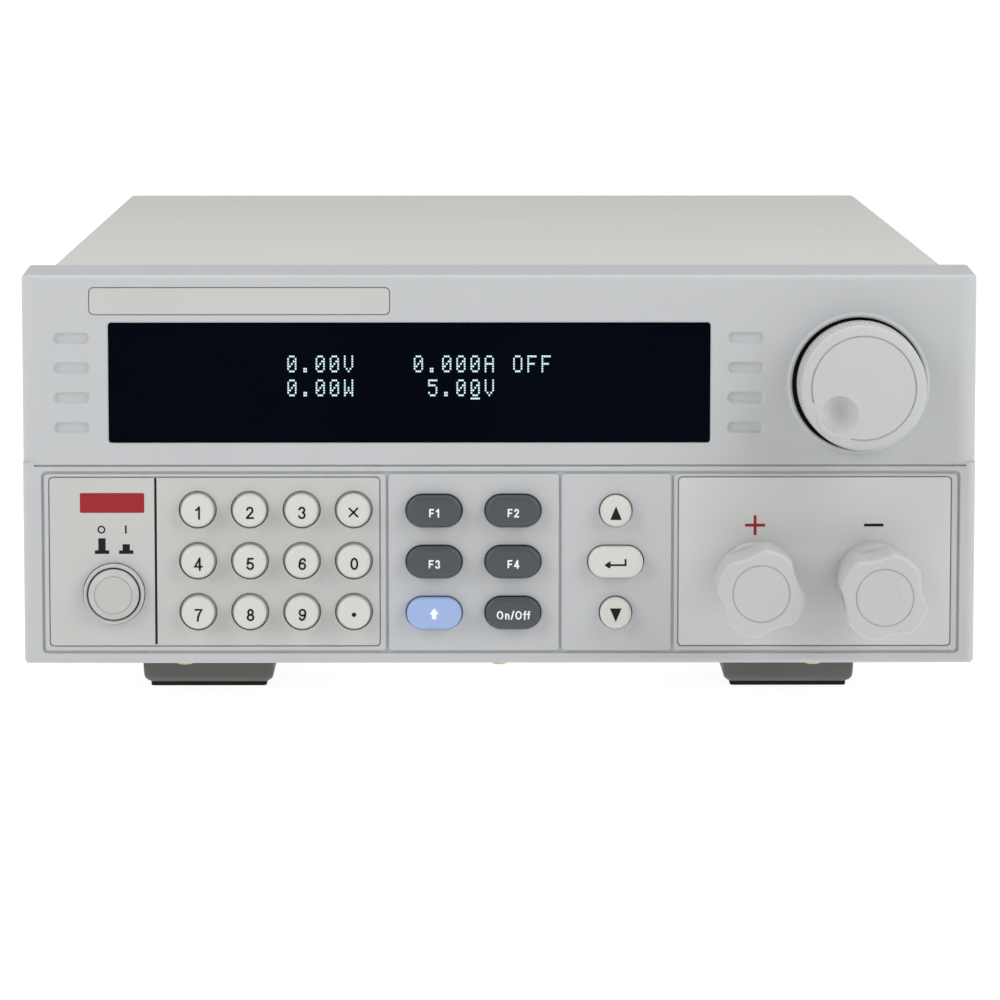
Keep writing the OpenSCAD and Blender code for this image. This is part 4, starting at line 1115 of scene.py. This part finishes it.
def build_port():
    b = Builder()
    b.plane((-20, BODY_D, 68), Y, -X)
    shell = S_poly([(-7.1, -4), (7.1, -4), (8.4, 4), (-8.4, 4)], 1.6, 5)
    o0, o1 = b.chain(S_rr(0, 0, 31, 12.6, 1.2, 5), [(0, 0), (0, -0.8), (-0.1, -0.95), (-0.3, -1.0)])
    s0, s1 = b.chain(shell, [(0.35, -1.0), (0.05, -1.1), (0, -1.5), (0, -5.8), (-0.12, -6.0), (-0.3, -6.0), (-0.45, -5.85), (-0.5, -5.2)])
    b.fill(o1, [s0])
    b.fill(o0, flip=True)
    b.mat = 1
    i0 = b.ring(shell(-0.5), -5.2)
    holes = []
    for k in range(5):
        h0, h1 = b.chain(S_circ(-5.54 + 2.77 * k, 1.42, 0.55, 16), [(0.14, -5.2), (0, -5.05), (0, -2.2)])
        b.fill(h1)
        holes.append(h0)
    for k in range(4):
        h0, h1 = b.chain(S_circ(-4.155 + 2.77 * k, -1.42, 0.55, 16), [(0.14, -5.2), (0, -5.05), (0, -2.2)])
        b.fill(h1)
        holes.append(h0)
    b.fill(i0, holes)
    q0, q1 = b.chain(S_rr(0, 0, 19.4, 10.4, 0.4, 3), [(0, 10.0), (0, 0.0)])
    b.fill(q0, flip=True)
    b.mat = 0
    for i in (-1, 1):
        b.plane((-20 + 12.5 * i, BODY_D, 68), Y, -X)
        hexa = S_poly([(2.742 * math.cos(math.radians(60 * k)), 2.742 * math.sin(math.radians(60 * k))) for k in range(6)], 0.15, 2)
        h0, h1 = b.chain(hexa, [(0, -1.0), (0, -5.5), (-0.15, -5.85), (-0.45, -6.0)])
        t0, t1 = b.chain(S_circ(0, 0, 1.42, 24), [(0.1, -6.0), (0, -5.85), (0, -0.4)])
        b.fill(h1, [t0])
        b.fill(t1)
    b.make("port_connector", [M_NICKEL, M_INSUL], replaces="comm_port", slot="port_metal", sharp=40)


build_port()


def build_terminal():
    b = Builder()
    b.plane((-20, BODY_D, 38), Y, -X)
    o0, o1 = b.chain(S_rr(0, 0, 25, 11, 0.5, 4), [(0, 0), (0, -0.8), (-0.1, -0.95), (-0.25, -1.0)])
    k0, k1 = b.chain(S_rr(0, 0, 22, 9, 0.4, 4), [(0, -1.0), (0, -5.2), (-0.1, -5.42), (-0.3, -5.5)])
    b.fill(o1, [k0])
    holes = []
    for i in range(4):
        h0, h1 = b.chain(S_rr(-7.62 + 5.08 * i, -1.6, 3.0, 3.2, 0.25, 3), [(0.25, -5.5), (0, -5.2), (0, 2.0)])
        b.fill(h1)
        holes.append(h0)
    b.fill(k1, holes)
    q0, q1 = b.chain(S_rr(0, 0, 22, 9, 0.4, 3), [(0, 9.0), (0, 0.0)])
    b.fill(q0, flip=True)
    b.fill(o0, [q1], flip=True)
    b.mat = 1
    for i in range(4):
        x = -20 - 7.62 + 5.08 * i
        screw_on(b, (x, BODY_D + 3.2, 42.5), Z, X, R=1.45, H=0.25, shank=(1.0, 1.0), seg=24, turn=0.5 * i)
    b.make("sense_block", [M_GREEN, M_STEEL], replaces="sense_terminal", slot="terminal_green", sharp=40)


build_terminal()


# ---------------------------------------------------------------- CAD parts that keep their shape

KEEP = {
    "base_tray": M_TRAY, "display_tube": M_TUBE, "front_board": M_PCB, "tact_switches": M_BLACK, "encoder_body": M_STEEL,
    "encoder_shaft": M_STEEL, "post_nuts": M_STEEL, "busbars": M_COPPER, "heatsinks": M_ALLOY, "mosfets": M_BLACK,
    "power_board": M_PCB, "fan_frame": M_BLACK, "fan_rotor": M_BLACK, "transformer_core": M_CORE, "transformer_coil": M_COIL,
    "main_board": M_PCB, "power_switch": M_BLACK,
}
for node, mat in KEEP.items():
    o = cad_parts[node]
    o.data.materials.clear()
    o.data.materials.append(mat)


# ---------------------------------------------------------------- floor, light, camera

def light_table():
    """Pale floor lit from within, a little brighter away from the object."""
    m, nt, bs = principled("floor_white")
    bs.inputs["Base Color"].default_value = (FLOOR_TONE, FLOOR_TONE, FLOOR_TONE, 1)
    bs.inputs["Roughness"].default_value = 0.9
    bs.inputs["Specular IOR Level"].default_value = 0.0
    bs.inputs["Emission Color"].default_value = (1, 1, 1, 1)
    tc = nt.nodes.new("ShaderNodeTexCoord")
    far = nt.nodes.new("ShaderNodeVectorMath")
    far.operation = "LENGTH"
    nt.links.new(tc.outputs["Object"], far.inputs[0])
    ramp = nt.nodes.new("ShaderNodeMapRange")
    ramp.inputs["From Min"].default_value = 0.35
    ramp.inputs["From Max"].default_value = 1.2
    ramp.inputs["To Min"].default_value = FLOOR_NEAR
    ramp.inputs["To Max"].default_value = FLOOR_FAR
    nt.links.new(far.outputs["Value"], ramp.inputs["Value"])
    nt.links.new(ramp.outputs["Result"], bs.inputs["Emission Strength"])
    return m


FLOOR_TONE, FLOOR_NEAR, FLOOR_FAR = 0.3, 0.9, 1.0
floor_mesh = bpy.data.meshes.new("floor")
s = 40.0
floor_mesh.from_pydata([(-s, -s, 0), (s, -s, 0), (s, s, 0), (-s, s, 0)], [], [(0, 1, 2, 3)])
floor = bpy.data.objects.new("floor", floor_mesh)
bpy.context.scene.collection.objects.link(floor)
floor.data.materials.append(light_table())

world = bpy.data.worlds.new("studio")
bpy.context.scene.world = world
world.use_nodes = True
world.node_tree.nodes["Background"].inputs["Color"].default_value = (1.0, 1.0, 1.0, 1)
world.node_tree.nodes["Background"].inputs["Strength"].default_value = 0.16


def area(name, loc, target, size, energy, color=(1, 1, 1)):
    d = bpy.data.lights.new(name, "AREA")
    d.shape = "RECTANGLE"
    d.size, d.size_y = size
    d.energy = energy
    d.color = color
    o = bpy.data.objects.new(name, d)
    o.location = loc
    o.rotation_euler = (Vector(target) - Vector(loc)).to_track_quat("-Z", "Y").to_euler()
    bpy.context.scene.collection.objects.link(o)
    return o


area("left_box", (-0.72, -0.58, 0.55), (0, -0.16, 0.06), (0.5, 0.8), 5.3)
area("right_box", (0.72, -0.58, 0.52), (0, -0.16, 0.06), (0.5, 0.8), 5.3)
area("top_box", (0.0, 0.15, 1.3), (0, 0.05, 0.05), (1.4, 1.2), 11.2)

cam_data = bpy.data.cameras.new("camera")
cam = bpy.data.objects.new("camera", cam_data)
bpy.context.scene.collection.objects.link(cam)
cam.location = (-0.0065, (-1155.5 + Y0) * MM, 0.18377)
cam.rotation_euler = (math.radians(90 - 6.693), 0, math.radians(-0.3292))
cam_data.sensor_width = 36.0
cam_data.lens = 186.091
cam_data.clip_start, cam_data.clip_end = 0.05, 200
bpy.context.scene.camera = cam
bpy.context.scene.view_settings.view_transform = "Standard"
bpy.context.scene.view_settings.look = "None"
